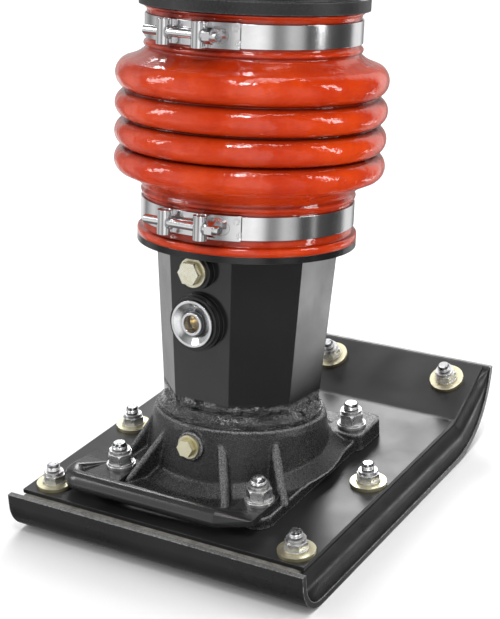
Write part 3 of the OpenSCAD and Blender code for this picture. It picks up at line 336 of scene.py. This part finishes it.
def satin_paint(name, dark, light, rough, gloss=0.42):
    """Sprayed or powder-coated steel: orange peel, faint mottling, rubbed edges."""
    wear = (0.16, 0.16, 0.165)
    p = Paint(name)
    mottle = p.noise(14, 5, 0.6)
    colour = p.mix_colour(p.ramp(mottle, 0.35, 0.7), dark, light)
    rub = p.math("MULTIPLY", p.edges(0.0011), p.ramp(p.noise(90, 4), 0.38, 0.62, 0.1, 0.55))
    colour = p.mix_colour(rub, colour, wear)
    scratches = p.ramp(p.noise(40, 6, 0.7, p.place(turn=(0.4, 0.2, 0.7), scale=(1, 14, 1))), 0.62, 0.72)
    scuffed = p.math("MULTIPLY", scratches, 0.08)
    roughness = p.math("ADD", p.ramp(p.noise(30, 4), 0.3, 0.7, *rough), scuffed)
    normal = p.bump(p.noise(520, 3), 0.00003, 1.0, p.soft_edge(0.0006))
    return p.surface(colour, roughness, 0.0, normal, Specular_IOR_Level=gloss)


def cast_paint(name, dark, light, grain, rough, coarse, worn=(0.13, 0.13, 0.135), painted_ridge_highlight=False):
    """Paint over a casting: a grain with lighter high spots, and paler edges, which are worn paint and, where
    the edge colour is bright, a painted highlight.

    coarse is the grain in cycles per metre; the ridge flag is for a fine mesh, whose edges are rounded, and
    adds a painted highlight along its ridges.
    """
    p = Paint(name)
    big = p.noise(60, 5, 0.6)
    fine = p.noise(coarse, 4, 0.65)
    pits = p.ramp(p.cells(coarse * 0.7), 0.0, 0.5)
    height = p.math("ADD", p.math("MULTIPLY", fine, 0.7), p.math("MULTIPLY", pits, 0.12))
    height = p.math("ADD", height, p.math("MULTIPLY", big, 0.4))
    colour = p.mix_colour(p.ramp(fine, 0.42, 0.72), dark, light)
    # Edges take the edge colour: worn paint, and a painted highlight where that colour is bright.
    outer = p.edges(0.0020)
    if painted_ridge_highlight:
        outer = p.math("MAXIMUM", outer, p.ridges(0.505, 0.56))
    colour = p.mix_colour(p.math("MULTIPLY", outer, p.ramp(fine, 0.40, 0.56, 0.15, 1.0)), colour, worn)
    roughness = p.ramp(fine, 0.35, 0.7, *rough)
    return p.surface(colour, roughness, 0.0, p.bump(height, grain, 1.0, p.soft_edge(0.0012)))


def plated(name, colours, rough=(0.18, 0.34), grain=0.00002, dirt_and_shade_colour=(0.35, 0.33, 0.30), cloudy=130):
    """Plated or bright steel: cloudy, with small knocks, and crevices darker and rougher, which is dirt on
    most pieces and painted shade on the chrome, whose crevice colour is near black.
    """
    p = Paint(name)
    cloud = p.noise(cloudy, 5, 0.6, distortion=0.6)
    colour = p.mix_colour(p.ramp(cloud, 0.35, 0.68), colours[0], colours[1])
    # Crevice colour mixed in where other surfaces are close: dirt, and painted shade where that colour is
    # near black.
    crevice_dirt_and_shade = p.ramp(p.crevices(0.004), 0.55, 0.95, 1.0, 0.0)
    colour = p.mix_colour(p.math("MULTIPLY", crevice_dirt_and_shade, 0.7), colour, dirt_and_shade_colour)
    roughness = p.math("ADD", p.ramp(p.noise(300, 4), 0.3, 0.7, *rough), p.math("MULTIPLY", crevice_dirt_and_shade, 0.2))
    return p.surface(colour, roughness, 1.0, p.bump(p.noise(700, 3), grain, 1.0, p.soft_edge(0.0004)))


def brushed(name, colours, stretch):
    """Bare metal with brush or turning marks along the axis that stretch leaves long."""
    p = Paint(name)
    lines = p.noise(1, 4, 0.7, p.place(scale=stretch))
    cloud = p.noise(35, 4)
    colour = p.mix_colour(p.ramp(lines, 0.3, 0.7), colours[0], colours[1])
    colour = p.mix_colour(p.ramp(cloud, 0.5, 0.8, 0.0, 0.35), colour, colours[0])
    roughness = p.ramp(lines, 0.3, 0.7, 0.16, 0.32)
    return p.surface(colour, roughness, 1.0, p.bump(lines, 0.00001, 1.0, p.soft_edge(0.0004)))


def moulded(name, dark, light, rough=(0.4, 0.55), grain=0.00006, scale=900, **sockets):
    """Moulded plastic or rubber with a spark-eroded texture."""
    p = Paint(name)
    colour = p.mix_colour(p.ramp(p.noise(22, 5), 0.35, 0.7), dark, light)
    scuffs = p.ramp(p.noise(55, 6, 0.7, distortion=1.2), 0.58, 0.7)
    rubbed = tuple(min(1, c * 2 + 0.03) for c in light)
    colour = p.mix_colour(p.math("MULTIPLY", p.edges(0.001), 0.35), colour, rubbed)
    dulled = p.math("MULTIPLY", scuffs, 0.08)
    roughness = p.math("ADD", p.ramp(p.noise(70, 4), 0.3, 0.7, *rough), dulled)
    normal = p.bump(p.noise(scale, 2), grain, 1.0, p.soft_edge(0.0008))
    return p.surface(colour, roughness, 0.0, normal, **sockets)


def bolt_steel():
    """Dark thread flanks with a bright cut end, picked by which way a face points: the bright upward faces
    are partly a painted highlight, the dark flanks partly painted shade.
    """
    p = Paint("bolt_steel")
    cloud = p.noise(220, 4, 0.6)
    side = p.mix_colour(p.ramp(cloud, 0.35, 0.65), (0.10, 0.10, 0.105), (0.22, 0.22, 0.23))
    end = p.mix_colour(p.ramp(cloud, 0.35, 0.65), (0.62, 0.63, 0.64), (0.84, 0.85, 0.86))
    # Upward faces bright and the rest dark: partly bare cut ends and darker thread flanks, partly painted
    # highlight and painted shade.
    colour = p.mix_colour(p.ramp(p.upward(), 0.75, 0.88), side, end)
    return p.surface(colour, p.ramp(cloud, 0.3, 0.7, 0.22, 0.36), 1.0, p.bump(p.noise(800, 2), 0.00001))


def sole_paint():
    """Black paint, rubbed grey along the top of the rear lip, and bright along its edges, partly worn paint
    and partly a painted highlight.
    """
    p = Paint("sole_paint")
    mottle = p.noise(14, 5, 0.6)
    colour = p.mix_colour(p.ramp(mottle, 0.35, 0.7), (0.0085, 0.0085, 0.009), (0.016, 0.016, 0.017))
    speckle = p.noise(900, 3, 0.7)
    top = p.ramp(p.upward(), 0.8, 0.95)
    worn = p.mix_colour(p.ramp(speckle, 0.4, 0.65), (0.055, 0.055, 0.054), (0.20, 0.20, 0.195))
    colour = p.mix_colour(top, colour, worn)
    # Bright speckled edges: worn paint, and a painted highlight along the lip's edge.
    rub = p.math("MULTIPLY", p.edges(0.0011, 0.0, 0.2), p.ramp(speckle, 0.44, 0.58, 0.10, 0.95))
    colour = p.mix_colour(rub, colour, (0.58, 0.58, 0.57))
    normal = p.bump(p.noise(520, 3), 0.00003, 1.0, p.soft_edge(0.0007))
    roughness = p.ramp(p.noise(30, 4), 0.3, 0.7, 0.24, 0.34)
    return p.surface(colour, roughness, 0.0, normal, Specular_IOR_Level=0.42)


def leg_paint():
    """Smooth black paint, run thick and glossy into waves round the collar at the leg's foot."""
    p = Paint("leg_paint")
    mottle = p.ramp(p.noise(14, 5, 0.6), 0.35, 0.7)
    colour = p.mix_colour(mottle, (0.008, 0.008, 0.0085), (0.012, 0.012, 0.0125))
    rub = p.math("MULTIPLY", p.edges(0.0010), p.ramp(p.noise(90, 4), 0.38, 0.62, 0.05, 0.3))
    colour = p.mix_colour(rub, colour, (0.16, 0.16, 0.165))
    collar = p.ramp(p.axis_parts()[2], 0.1035, 0.0985)
    waves = p.math("MULTIPLY", p.noise(70, 4, 0.62, distortion=0.8), collar)
    glossy = p.math("MULTIPLY", collar, -0.11)
    roughness = p.math("ADD", p.ramp(p.noise(30, 4), 0.3, 0.7, 0.16, 0.23), glossy)
    normal = p.bump(waves, 0.0075, 1.0, p.bump(p.noise(520, 3), 0.00002, 1.0, p.soft_edge(0.0006)))
    return p.surface(colour, roughness, 0.0, normal, Specular_IOR_Level=0.48,
                     Coat_Weight=collar, Coat_Roughness=0.03)


def bellows_paint():
    """Glossy moulded urethane, a little cloudy, with painted shade darkening the grooves between the rolls.
    """
    p = Paint("bellows_urethane")
    cloud = p.noise(26, 5, 0.6, distortion=0.5)
    colour = p.mix_colour(p.ramp(cloud, 0.3, 0.72), (0.50, 0.026, 0.002), (0.70, 0.058, 0.003))
    # Painted shade: darker where other surfaces are close, in the grooves between the rolls.
    fold_shade = p.ramp(p.crevices(0.021), 0.32, 0.95, 1.0, 0.0)
    colour = p.mix_colour(p.math("MULTIPLY", fold_shade, 0.95), colour, (0.09, 0.003, 0.001))
    wobble = p.noise(40, 4, 0.5, p.place(scale=(1, 1, 1.7)))
    normal = p.bump(wobble, 0.0026, 0.8, p.bump(p.noise(240, 3), 0.00004))
    roughness = p.ramp(p.noise(60, 5), 0.3, 0.75, 0.11, 0.20)
    return p.surface(colour, roughness, 0.0, normal, Specular_IOR_Level=0.42, Coat_Weight=0.35,
                     Coat_Roughness=0.03, Subsurface_Weight=0.04, Subsurface_Scale=0.003)


def shoe_core_paint():
    """Black moulded sides, with the bare, dusty top edge that shows behind the top plate."""
    p = Paint("shoe_core_plastic")
    colour = p.mix_colour(p.ramp(p.noise(18, 5), 0.35, 0.7), (0.010, 0.010, 0.011), (0.022, 0.022, 0.023))
    colour = p.mix_colour(p.math("MULTIPLY", p.edges(0.0015), 0.4), colour, (0.09, 0.09, 0.09))
    split = p.node("ShaderNodeSeparateXYZ")
    p.feed(split.inputs[0], p.coords)
    rear = p.ramp(split.outputs["Y"], -0.1175, -0.1185)
    flat = p.ramp(p.upward(), 0.9, 0.97)
    bare = p.math("MULTIPLY", rear, flat)
    dust = p.mix_colour(p.ramp(p.noise(160, 5), 0.3, 0.7), (0.11, 0.105, 0.095), (0.26, 0.25, 0.225))
    colour = p.mix_colour(bare, colour, dust)
    roughness = p.ramp(p.noise(60, 4), 0.3, 0.7, 0.26, 0.4)
    return p.surface(colour, roughness, 0.0, p.bump(p.noise(420, 3), 0.00004, 1.0, p.soft_edge(0.001)))


def clamp_paint():
    """Brushed stainless strip: marks run round the band, so they depend on the height along the leg."""
    p = Paint("clamp_stainless")
    parts = p.axis_parts()
    height = p.node("ShaderNodeCombineXYZ")
    p.feed(height.inputs[2], parts[2])
    lines = p.noise(4200, 2, 0.6, height.outputs[0])
    cloud = p.noise(55, 4)
    colour = p.mix_colour(p.ramp(lines, 0.3, 0.7), (0.70, 0.70, 0.71), (0.84, 0.84, 0.85))
    colour = p.mix_colour(p.ramp(cloud, 0.45, 0.75, 0, 0.3), colour, (0.55, 0.54, 0.53))
    roughness = p.ramp(lines, 0.3, 0.7, 0.10, 0.20)
    return p.surface(colour, roughness, 1.0, p.bump(lines, 0.000015, 1.0, p.soft_edge(0.0005)))


def heat_stained():
    """Steel browned by heat, with patches of rust."""
    p = Paint("exhaust_steel")
    cloud = p.noise(16, 5, 0.6, distortion=0.8)
    tint = p.mix_colour(p.ramp(cloud, 0.3, 0.7), (0.22, 0.19, 0.17), (0.34, 0.27, 0.20))
    rust = p.ramp(p.noise(70, 6, 0.7), 0.56, 0.68)
    colour = p.mix_colour(p.math("MULTIPLY", rust, 0.6), tint, (0.16, 0.07, 0.035))
    metallic = p.ramp(rust, 0, 1, 0.9, 0.25)
    roughness = p.ramp(rust, 0, 1, 0.38, 0.75)
    normal = p.bump(p.noise(260, 4), 0.00012, 1.0, p.soft_edge(0.0008))
    return p.surface(colour, roughness, metallic, normal)


def lens_paint():
    """Clear glass, a little yellowed."""
    p = Paint("lens_glass")
    colour = p.mix_colour(p.noise(200, 3), (0.93, 0.90, 0.78), (0.98, 0.97, 0.90))
    return p.surface(colour, p.ramp(p.noise(300, 3), 0.3, 0.7, 0.02, 0.08), 0.0,
                     p.bump(p.noise(90, 2), 0.00004), Transmission_Weight=0.9, IOR=1.47)


BLACK_PAINT = ((0.010, 0.010, 0.0105), (0.020, 0.020, 0.021))


def make_materials():
    return {
        "sole": sole_paint(),
        "plate": satin_paint("plate_paint", *BLACK_PAINT, rough=(0.28, 0.4)),
        "leg": leg_paint(),
        "handle": satin_paint("tube_paint", *BLACK_PAINT, rough=(0.27, 0.4)),
        "bar": satin_paint("bar_paint", (0.012, 0.012, 0.0125), (0.024, 0.024, 0.025),
                           rough=(0.20, 0.28), gloss=0.75),
        "core": shoe_core_paint(),
        # A bright edge colour and ridges: a painted highlight along the ribs and the top rim.
        "casting": cast_paint("foot_cast_iron", (0.011, 0.011, 0.0115), (0.048, 0.048, 0.050),
                              grain=0.00042, rough=(0.20, 0.36), coarse=880,
                              worn=(0.40, 0.40, 0.41), painted_ridge_highlight=True),
        "case": cast_paint("case_cast_aluminium", (0.010, 0.010, 0.0105), (0.026, 0.026, 0.028),
                           grain=0.00018, rough=(0.36, 0.52), coarse=650),
        "bolt": bolt_steel(),
        "zinc": plated("bright_zinc", ((0.74, 0.75, 0.76), (0.95, 0.95, 0.96)), rough=(0.22, 0.38),
                       dirt_and_shade_colour=(0.42, 0.41, 0.39)),
        "yellow": plated("yellow_zinc", ((0.70, 0.66, 0.46), (0.80, 0.77, 0.58)), rough=(0.30, 0.40),
                         grain=0.000005, dirt_and_shade_colour=(0.45, 0.38, 0.18), cloudy=45),
        "pale_yellow": plated("pale_yellow_zinc", ((0.80, 0.76, 0.58), (0.93, 0.91, 0.79)),
                              dirt_and_shade_colour=(0.40, 0.33, 0.18)),
        # Near-black crevice colour: painted shade that picks out the rings of the sight glass.
        "chrome": plated("sight_chrome", ((0.66, 0.67, 0.68), (0.90, 0.90, 0.91)), rough=(0.08, 0.18),
                         grain=0.00006, dirt_and_shade_colour=(0.02, 0.02, 0.02), cloudy=60),
        "clamp": clamp_paint(),
        "bellows": bellows_paint(),
        "machined": brushed("machined_steel", ((0.36, 0.37, 0.38), (0.58, 0.59, 0.60)), (40, 40, 2600)),
        "spring": plated("spring_steel", ((0.10, 0.09, 0.08), (0.20, 0.17, 0.14)), rough=(0.3, 0.5)),
        "brass": brushed("turned_brass", ((0.55, 0.36, 0.12), (0.85, 0.62, 0.26)), (1800, 60, 1800)),
        "lens": lens_paint(),
        "engine": cast_paint("engine_die_cast", (0.30, 0.305, 0.31), (0.46, 0.465, 0.47),
                             grain=0.00012, rough=(0.32, 0.5), coarse=800),
        "plastic": moulded("black_plastic", (0.011, 0.011, 0.0115), (0.022, 0.022, 0.023)),
        "rubber": moulded("black_rubber", (0.009, 0.009, 0.009), (0.017, 0.017, 0.017),
                          rough=(0.55, 0.75), grain=0.00012, scale=600),
        "tank": moulded("tank_polyethylene", (0.60, 0.032, 0.008), (0.76, 0.055, 0.014),
                        rough=(0.2, 0.32), grain=0.00005, scale=420,
                        Coat_Weight=0.3, Coat_Roughness=0.12),
        "lining": moulded("clutch_lining", (0.06, 0.045, 0.035), (0.13, 0.10, 0.08), rough=(0.7, 0.9)),
        "red": moulded("lever_red", (0.42, 0.012, 0.010), (0.58, 0.022, 0.018), rough=(0.25, 0.4)),
        "exhaust": heat_stained(),
    }


LOOKS = {
    "sole": ["sole_plate"],
    "plate": ["shoe_top_plate", "muffler_guard"],
    "leg": ["leg_housing"],
    "handle": ["handle_frame"],
    "bar": ["carry_handle"],
    "core": ["shoe_core"],
    "casting": ["foot_casting"],
    "case": ["crankcase", "crankcase_cover"],
    "bolt": ["shoe_bolts", "foot_studs"],
    "zinc": ["shoe_nuts", "foot_washers", "foot_nuts", "crankcase_bolts", "choke_lever"],
    "yellow": ["shoe_washers", "drain_plug"],
    "pale_yellow": ["level_plug"],
    "chrome": ["sight_glass_body"],
    "clamp": ["lower_clamp_band", "lower_clamp_trunnions", "lower_clamp_bolt", "upper_clamp_band",
              "upper_clamp_trunnions", "upper_clamp_bolt"],
    "machined": ["spring_cylinder", "spring_cylinder_cap", "guide_cylinder", "piston", "piston_rod",
                 "crank_gear", "con_rod", "clutch_drum", "engine_shaft", "crank_bearings",
                 "drum_bearings"],
    "spring": ["upper_springs", "lower_springs"],
    "brass": ["sight_glass_reflector"],
    "lens": ["sight_glass_lens"],
    "engine": ["engine_block", "engine_cylinder", "carburetor"],
    "plastic": ["rocker_cover", "starter_housing", "starter_grip", "air_cleaner", "fuel_cap"],
    "rubber": ["handle_mounts", "handle_grips", "handle_roller", "spark_plug"],
    "tank": ["fuel_tank"],
    "lining": ["clutch_shoes"],
    "red": ["throttle_lever", "fuel_tap"],
    "exhaust": ["muffler"],
}


def dress(obj, material):
    obj.data.materials.clear()
    obj.data.materials.append(material)


def dress_nodes(materials):
    for look, names in LOOKS.items():
        for name in names:
            dress(NODES[name], materials[look])


# ---------------------------------------------------------------- finer meshes

def new_object(name, verts, faces, material, smooth=True):
    """An object from points in millimetres, with its faces turned outwards."""
    mesh = bpy.data.meshes.new(name)
    mesh.from_pydata([Vector(v) * MM for v in verts], [], faces)
    mesh.validate()
    work = bmesh.new()
    work.from_mesh(mesh)
    bmesh.ops.recalc_face_normals(work, faces=work.faces)
    work.to_mesh(mesh)
    work.free()
    for face in mesh.polygons:
        face.use_smooth = smooth
    piece = bpy.data.objects.new(name, mesh)
    bpy.context.scene.collection.objects.link(piece)
    dress(piece, material)
    return piece


def revolved(profile, steps):
    """Vertices and faces of a closed profile of (radius, height) points turned about z, in millimetres."""
    verts = []
    for i in range(steps):
        a = 2 * math.pi * i / steps
        verts += [(r * math.cos(a), r * math.sin(a), z) for r, z in profile]
    n = len(profile)
    faces = []
    for i in range(steps):
        for k in range(n):
            j = (i + 1) % steps
            m = (k + 1) % n
            faces.append((i * n + k, j * n + k, j * n + m, i * n + m))
    return verts, faces


BELLOWS_R = 111.6
CUFF_R = 87.0
CUFF_WALL = 2.7
ROLL_WALL = 3.3
ROLL_STEPS = 18
# Each roll: height of its crest, radius of its arc, and its half angles down to the grooves either side
ROLLS = [(295.6, 11.8, -52, 70), (317.9, 11.8, -70, 72), (340.9, 11.8, -72, 72), (365.4, 13.6, -62, 58)]


def bellows_profile():
    outer = [(91, 234), (91.1, 238.2), (90.7, 239.7), (89.6, 240.4), (87.6, 240.6), (CUFF_R, 241.2),
             (CUFF_R, 254), (CUFF_R, 267.4), (87.4, 268.6), (88.6, 269.4), (89.0, 270.8), (88.5, 272.3),
             (87.6, 273.4), (87.9, 275.0), (89.4, 276.6), (92, 278.6), (95.6, 281.2)]
    for crest, r, low, high in ROLLS:
        for k in range(ROLL_STEPS + 1):
            a = math.radians(low + (high - low) * k / ROLL_STEPS)
            outer.append((BELLOWS_R - r * (1 - math.cos(a)), crest + r * math.sin(a)))
        outer.append((outer[-1][0] - 0.9, outer[-1][1] + 0.2))
    outer.pop()
    outer += [(97.5, 379.6), (92.5, 382.2), (89.4, 384.6), (87.8, 386.2), (87.6, 387.4), (88.9, 388.3),
              (89.2, 389.8), (88.8, 391.2), (87.5, 392.2), (CUFF_R, 393.4), (CUFF_R, 404),
              (CUFF_R, 416.6), (87.6, 417.8), (88.8, 418.6), (89.1, 420.6)]
    bore = CUFF_R - CUFF_WALL
    inner = [(max(bore, r - ROLL_WALL) if 271 < z < 386 else bore, z) for r, z in outer]
    return outer + inner[::-1]


def make_bellows(material):
    verts, faces = revolved(bellows_profile(), 160)
    piece = new_object("bellows_skin", verts, faces, material)
    piece.data.transform(LEANED)
    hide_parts("bellows")
    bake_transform(piece)


# ---------------------------------------------------------------- threads

DECK_Z = 39.2
DECK_BEND = 152  # where the deck turns up towards the toe, along y
TOE_SLOPE = math.radians(23)
SHOE_BOLTS = [(-116.5, -101.5), (120, -103), (-118.5, 17), (120, 17)]
TOE_BOLTS = [-110, -10, 110]
TOE_BOLTS_UP = 44.5  # from the bend, along the slope
SHOE_BOLT_R = 5.0
SHOE_BOLT_PITCH = 1.5
SHOE_THREAD = (13.1, 5.6)  # the visible thread's start over the deck, and its length
# Each stud's place on the foot, and the height of the seat under its washer
FOOT_STUDS = [((-68, -71), 54.5), ((68, -71), 54.5), ((-73, 77), 55.5), ((73, 77), 55.5)]
FOOT_STUD_R = 6.0
FOOT_STUD_PITCH = 1.75
FOOT_THREAD = (15.3, 5.0)  # the visible thread's start over the seat, and its length
RIDGE_STEPS = 20  # sections a turn
# Depth and half widths of a ridge, as parts of the pitch
RIDGE_DEPTH = 0.34
RIDGE_FOOT = 0.44
RIDGE_CREST = 0.08
RIDGE_SINK = 0.05  # how far its foot is sunk into the bolt
RIDGE_TAPER = 14  # it grows to its full depth over 1/14 of its length, at each end


def helix_ridge(radius, pitch, length):
    """A thread ridge along z from 0 to length, with tapered ends, as vertices and faces."""
    turns = length / pitch
    count = int(turns * RIDGE_STEPS)
    depth = pitch * RIDGE_DEPTH
    foot = pitch * RIDGE_FOOT
    crest = pitch * RIDGE_CREST
    verts, faces = [], []
    for i in range(count + 1):
        t = i / count
        a = 2 * math.pi * turns * t
        z = pitch * 0.5 + (length - pitch) * t
        inner = radius - RIDGE_SINK
        outer = radius + min(1, RIDGE_TAPER * t, RIDGE_TAPER * (1 - t)) * depth
        for r, dz in ((inner, -foot), (outer, -crest), (outer, crest), (inner, foot)):
            verts.append((r * math.cos(a), r * math.sin(a), z + dz))
    for i in range(count):
        for k in range(4):
            m = (k + 1) % 4
            faces.append((i * 4 + k, (i + 1) * 4 + k, (i + 1) * 4 + m, i * 4 + m))
    faces.append((0, 1, 2, 3))
    faces.append(tuple(count * 4 + k for k in (3, 2, 1, 0)))
    return verts, faces


def make_threads(name, places, radius, pitch, length, material):
    """One piece of thread ridges, one at each place, which is a matrix in millimetres."""
    verts, faces = [], []
    ridge, ridge_faces = helix_ridge(radius, pitch, length)
    for place in places:
        start = len(verts)
        verts += [tuple(place @ Vector(c)) for c in ridge]
        faces += [tuple(start + i for i in face) for face in ridge_faces]
    piece = new_object(name, verts, faces, material, smooth=False)
    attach(piece, "base")


def shoe_bolt_places(up):
    """Matrices in millimetres on each shoe bolt's axis, that far above the deck."""
    places = [Matrix.Translation((x, y, DECK_Z + up)) for x, y in SHOE_BOLTS]
    toe = Matrix.Translation((0, DECK_BEND, DECK_Z)) @ Matrix.Rotation(TOE_SLOPE, 4, "X")
    return places + [toe @ Matrix.Translation((x, TOE_BOLTS_UP, up)) for x in TOE_BOLTS]


def make_stud_threads(material):
    start, length = SHOE_THREAD
    make_threads("shoe_bolt_threads", shoe_bolt_places(start), SHOE_BOLT_R, SHOE_BOLT_PITCH, length, material)
    start, length = FOOT_THREAD
    studs = [Matrix.Translation((x, y, seat + start)) for (x, y), seat in FOOT_STUDS]
    make_threads("foot_stud_threads", studs, FOOT_STUD_R, FOOT_STUD_PITCH, length, material)


# ---------------------------------------------------------------- shoe core

SHOE_HALF = 141.5
CORE_UNDER = 5.1
CORE_REAR = -127.9
CORE_TOP = 35.7
LIP_CENTRE = (-105, 28)
LIP_R = 28
TOE_CENTRE = (142, 82)
TOE_R = 82
TOE_REACH = math.radians(78)
TOE_EDGE = 0.6  # least thickness at the toe
SHOULDER = 13
LIP_STEPS = 12
FLAT_STEPS = 29
TOE_STEPS = 32
SHOULDER_STEPS = 8


def core_top(y):
    """Height of the core's upper face, which slopes up towards the toe."""
    return CORE_TOP + max(0.0, y - DECK_BEND) * math.tan(TOE_SLOPE)


def toe_point(a, reach):
    """The (y, z) point that far from the toe's centre, at angle a round from straight down."""
    return TOE_CENTRE[0] + reach * math.sin(a), TOE_CENTRE[1] - reach * math.cos(a)


def core_stations():
    """Pairs of (y, z) points, under and on top of the core, from the rear lip to the toe."""
    pairs = []
    lip_r = LIP_R - CORE_UNDER
    for k in range(1, LIP_STEPS + 1):
        y = LIP_CENTRE[0] - lip_r * math.cos(math.pi / 2 * k / LIP_STEPS)
        if y > CORE_REAR:
            drop = math.sqrt(max(0, lip_r ** 2 - (y - LIP_CENTRE[0]) ** 2))
            pairs.append(((y, LIP_CENTRE[1] - drop), (y, CORE_TOP)))
    for k in range(1, FLAT_STEPS + 1):
        y = LIP_CENTRE[0] + (TOE_CENTRE[0] - LIP_CENTRE[0]) * k / FLAT_STEPS
        pairs.append(((y, CORE_UNDER), (y, core_top(y))))
    toe_r = TOE_R - CORE_UNDER
    for k in range(1, TOE_STEPS + 1):
        a = TOE_REACH * k / TOE_STEPS
        reach = toe_r
        for _ in range(30):
            y, z = toe_point(a, reach)
            reach -= (core_top(y) - z) * 0.5
        pairs.append((toe_point(a, toe_r), toe_point(a, min(reach, toe_r - TOE_EDGE))))
    return pairs


def make_shoe_core(material):
    """The core as one loft, with its shoulders rounded all along the sides and over the toe."""
    verts, faces = [], []
    for under, top in core_stations():
        rise = (top[0] - under[0], top[1] - under[1])
        height = math.hypot(*rise)
        unit = (rise[0] / height, rise[1] / height)
        r = min(SHOULDER, 0.9 * height)
        side = [(SHOE_HALF, 0.0)]
        for k in range(SHOULDER_STEPS + 1):
            a = math.pi / 2 * k / SHOULDER_STEPS
            side.append((SHOE_HALF - r + r * math.cos(a), height - r + r * math.sin(a)))
        loop = side + [(-x, h) for x, h in reversed(side)]
        verts += [(x, under[0] + unit[0] * h, under[1] + unit[1] * h) for x, h in loop]
    n = 2 * (SHOULDER_STEPS + 2)
    count = len(verts) // n
    for i in range(count - 1):
        for k in range(n):
            m = (k + 1) % n
            faces.append((i * n + k, (i + 1) * n + k, (i + 1) * n + m, i * n + m))
    faces.append(tuple(range(n)))
    faces.append(tuple((count - 1) * n + k for k in reversed(range(n))))
    piece = new_object("shoe_core_skin", verts, faces, material)
    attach(piece, "base")
    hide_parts("shoe_core")


# ---------------------------------------------------------------- foot casting

VOXEL = 0.0011
FILLET_PASSES = 4
GRAIN_DEPTH = 0.0003
GRAIN_SIZE = 0.0045


def make_foot_casting(material):
    """A fine copy of the foot casting, with filleted corners and a cast grain in its surface."""
    piece = bpy.data.objects.new("foot_casting_skin", NODES["foot_casting"].data.copy())
    bpy.context.scene.collection.objects.link(piece)
    weld = piece.modifiers.new("weld", "WELD")
    weld.merge_threshold = 0.00001
    remesh = piece.modifiers.new("remesh", "REMESH")
    remesh.mode = "VOXEL"
    remesh.voxel_size = VOXEL
    remesh.use_smooth_shade = True
    soften = piece.modifiers.new("soften", "SMOOTH")
    soften.factor = 0.5
    soften.iterations = FILLET_PASSES
    texture = bpy.data.textures.new("foot_casting_skin_grain", "CLOUDS")
    texture.noise_scale = GRAIN_SIZE
    texture.noise_depth = 2
    roughen = piece.modifiers.new("roughen", "DISPLACE")
    roughen.texture = texture
    roughen.texture_coords = "LOCAL"
    roughen.strength = GRAIN_DEPTH
    roughen.mid_level = 0.5
    bpy.context.view_layer.update()
    evaluated = piece.evaluated_get(bpy.context.evaluated_depsgraph_get())
    mesh = bpy.data.meshes.new_from_object(evaluated)
    piece.modifiers.clear()
    piece.data = mesh
    for face in mesh.polygons:
        face.use_smooth = True
    dress(piece, material)
    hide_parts("foot_casting")
    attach(piece, "base")


# ---------------------------------------------------------------- everything

make_camera()
make_world()
make_lights()
make_floor()
MATERIALS = make_materials()
dress_nodes(MATERIALS)
make_bellows(MATERIALS["bellows"])
make_stud_threads(MATERIALS["zinc"])
make_shoe_core(MATERIALS["core"])
make_foot_casting(MATERIALS["casting"])
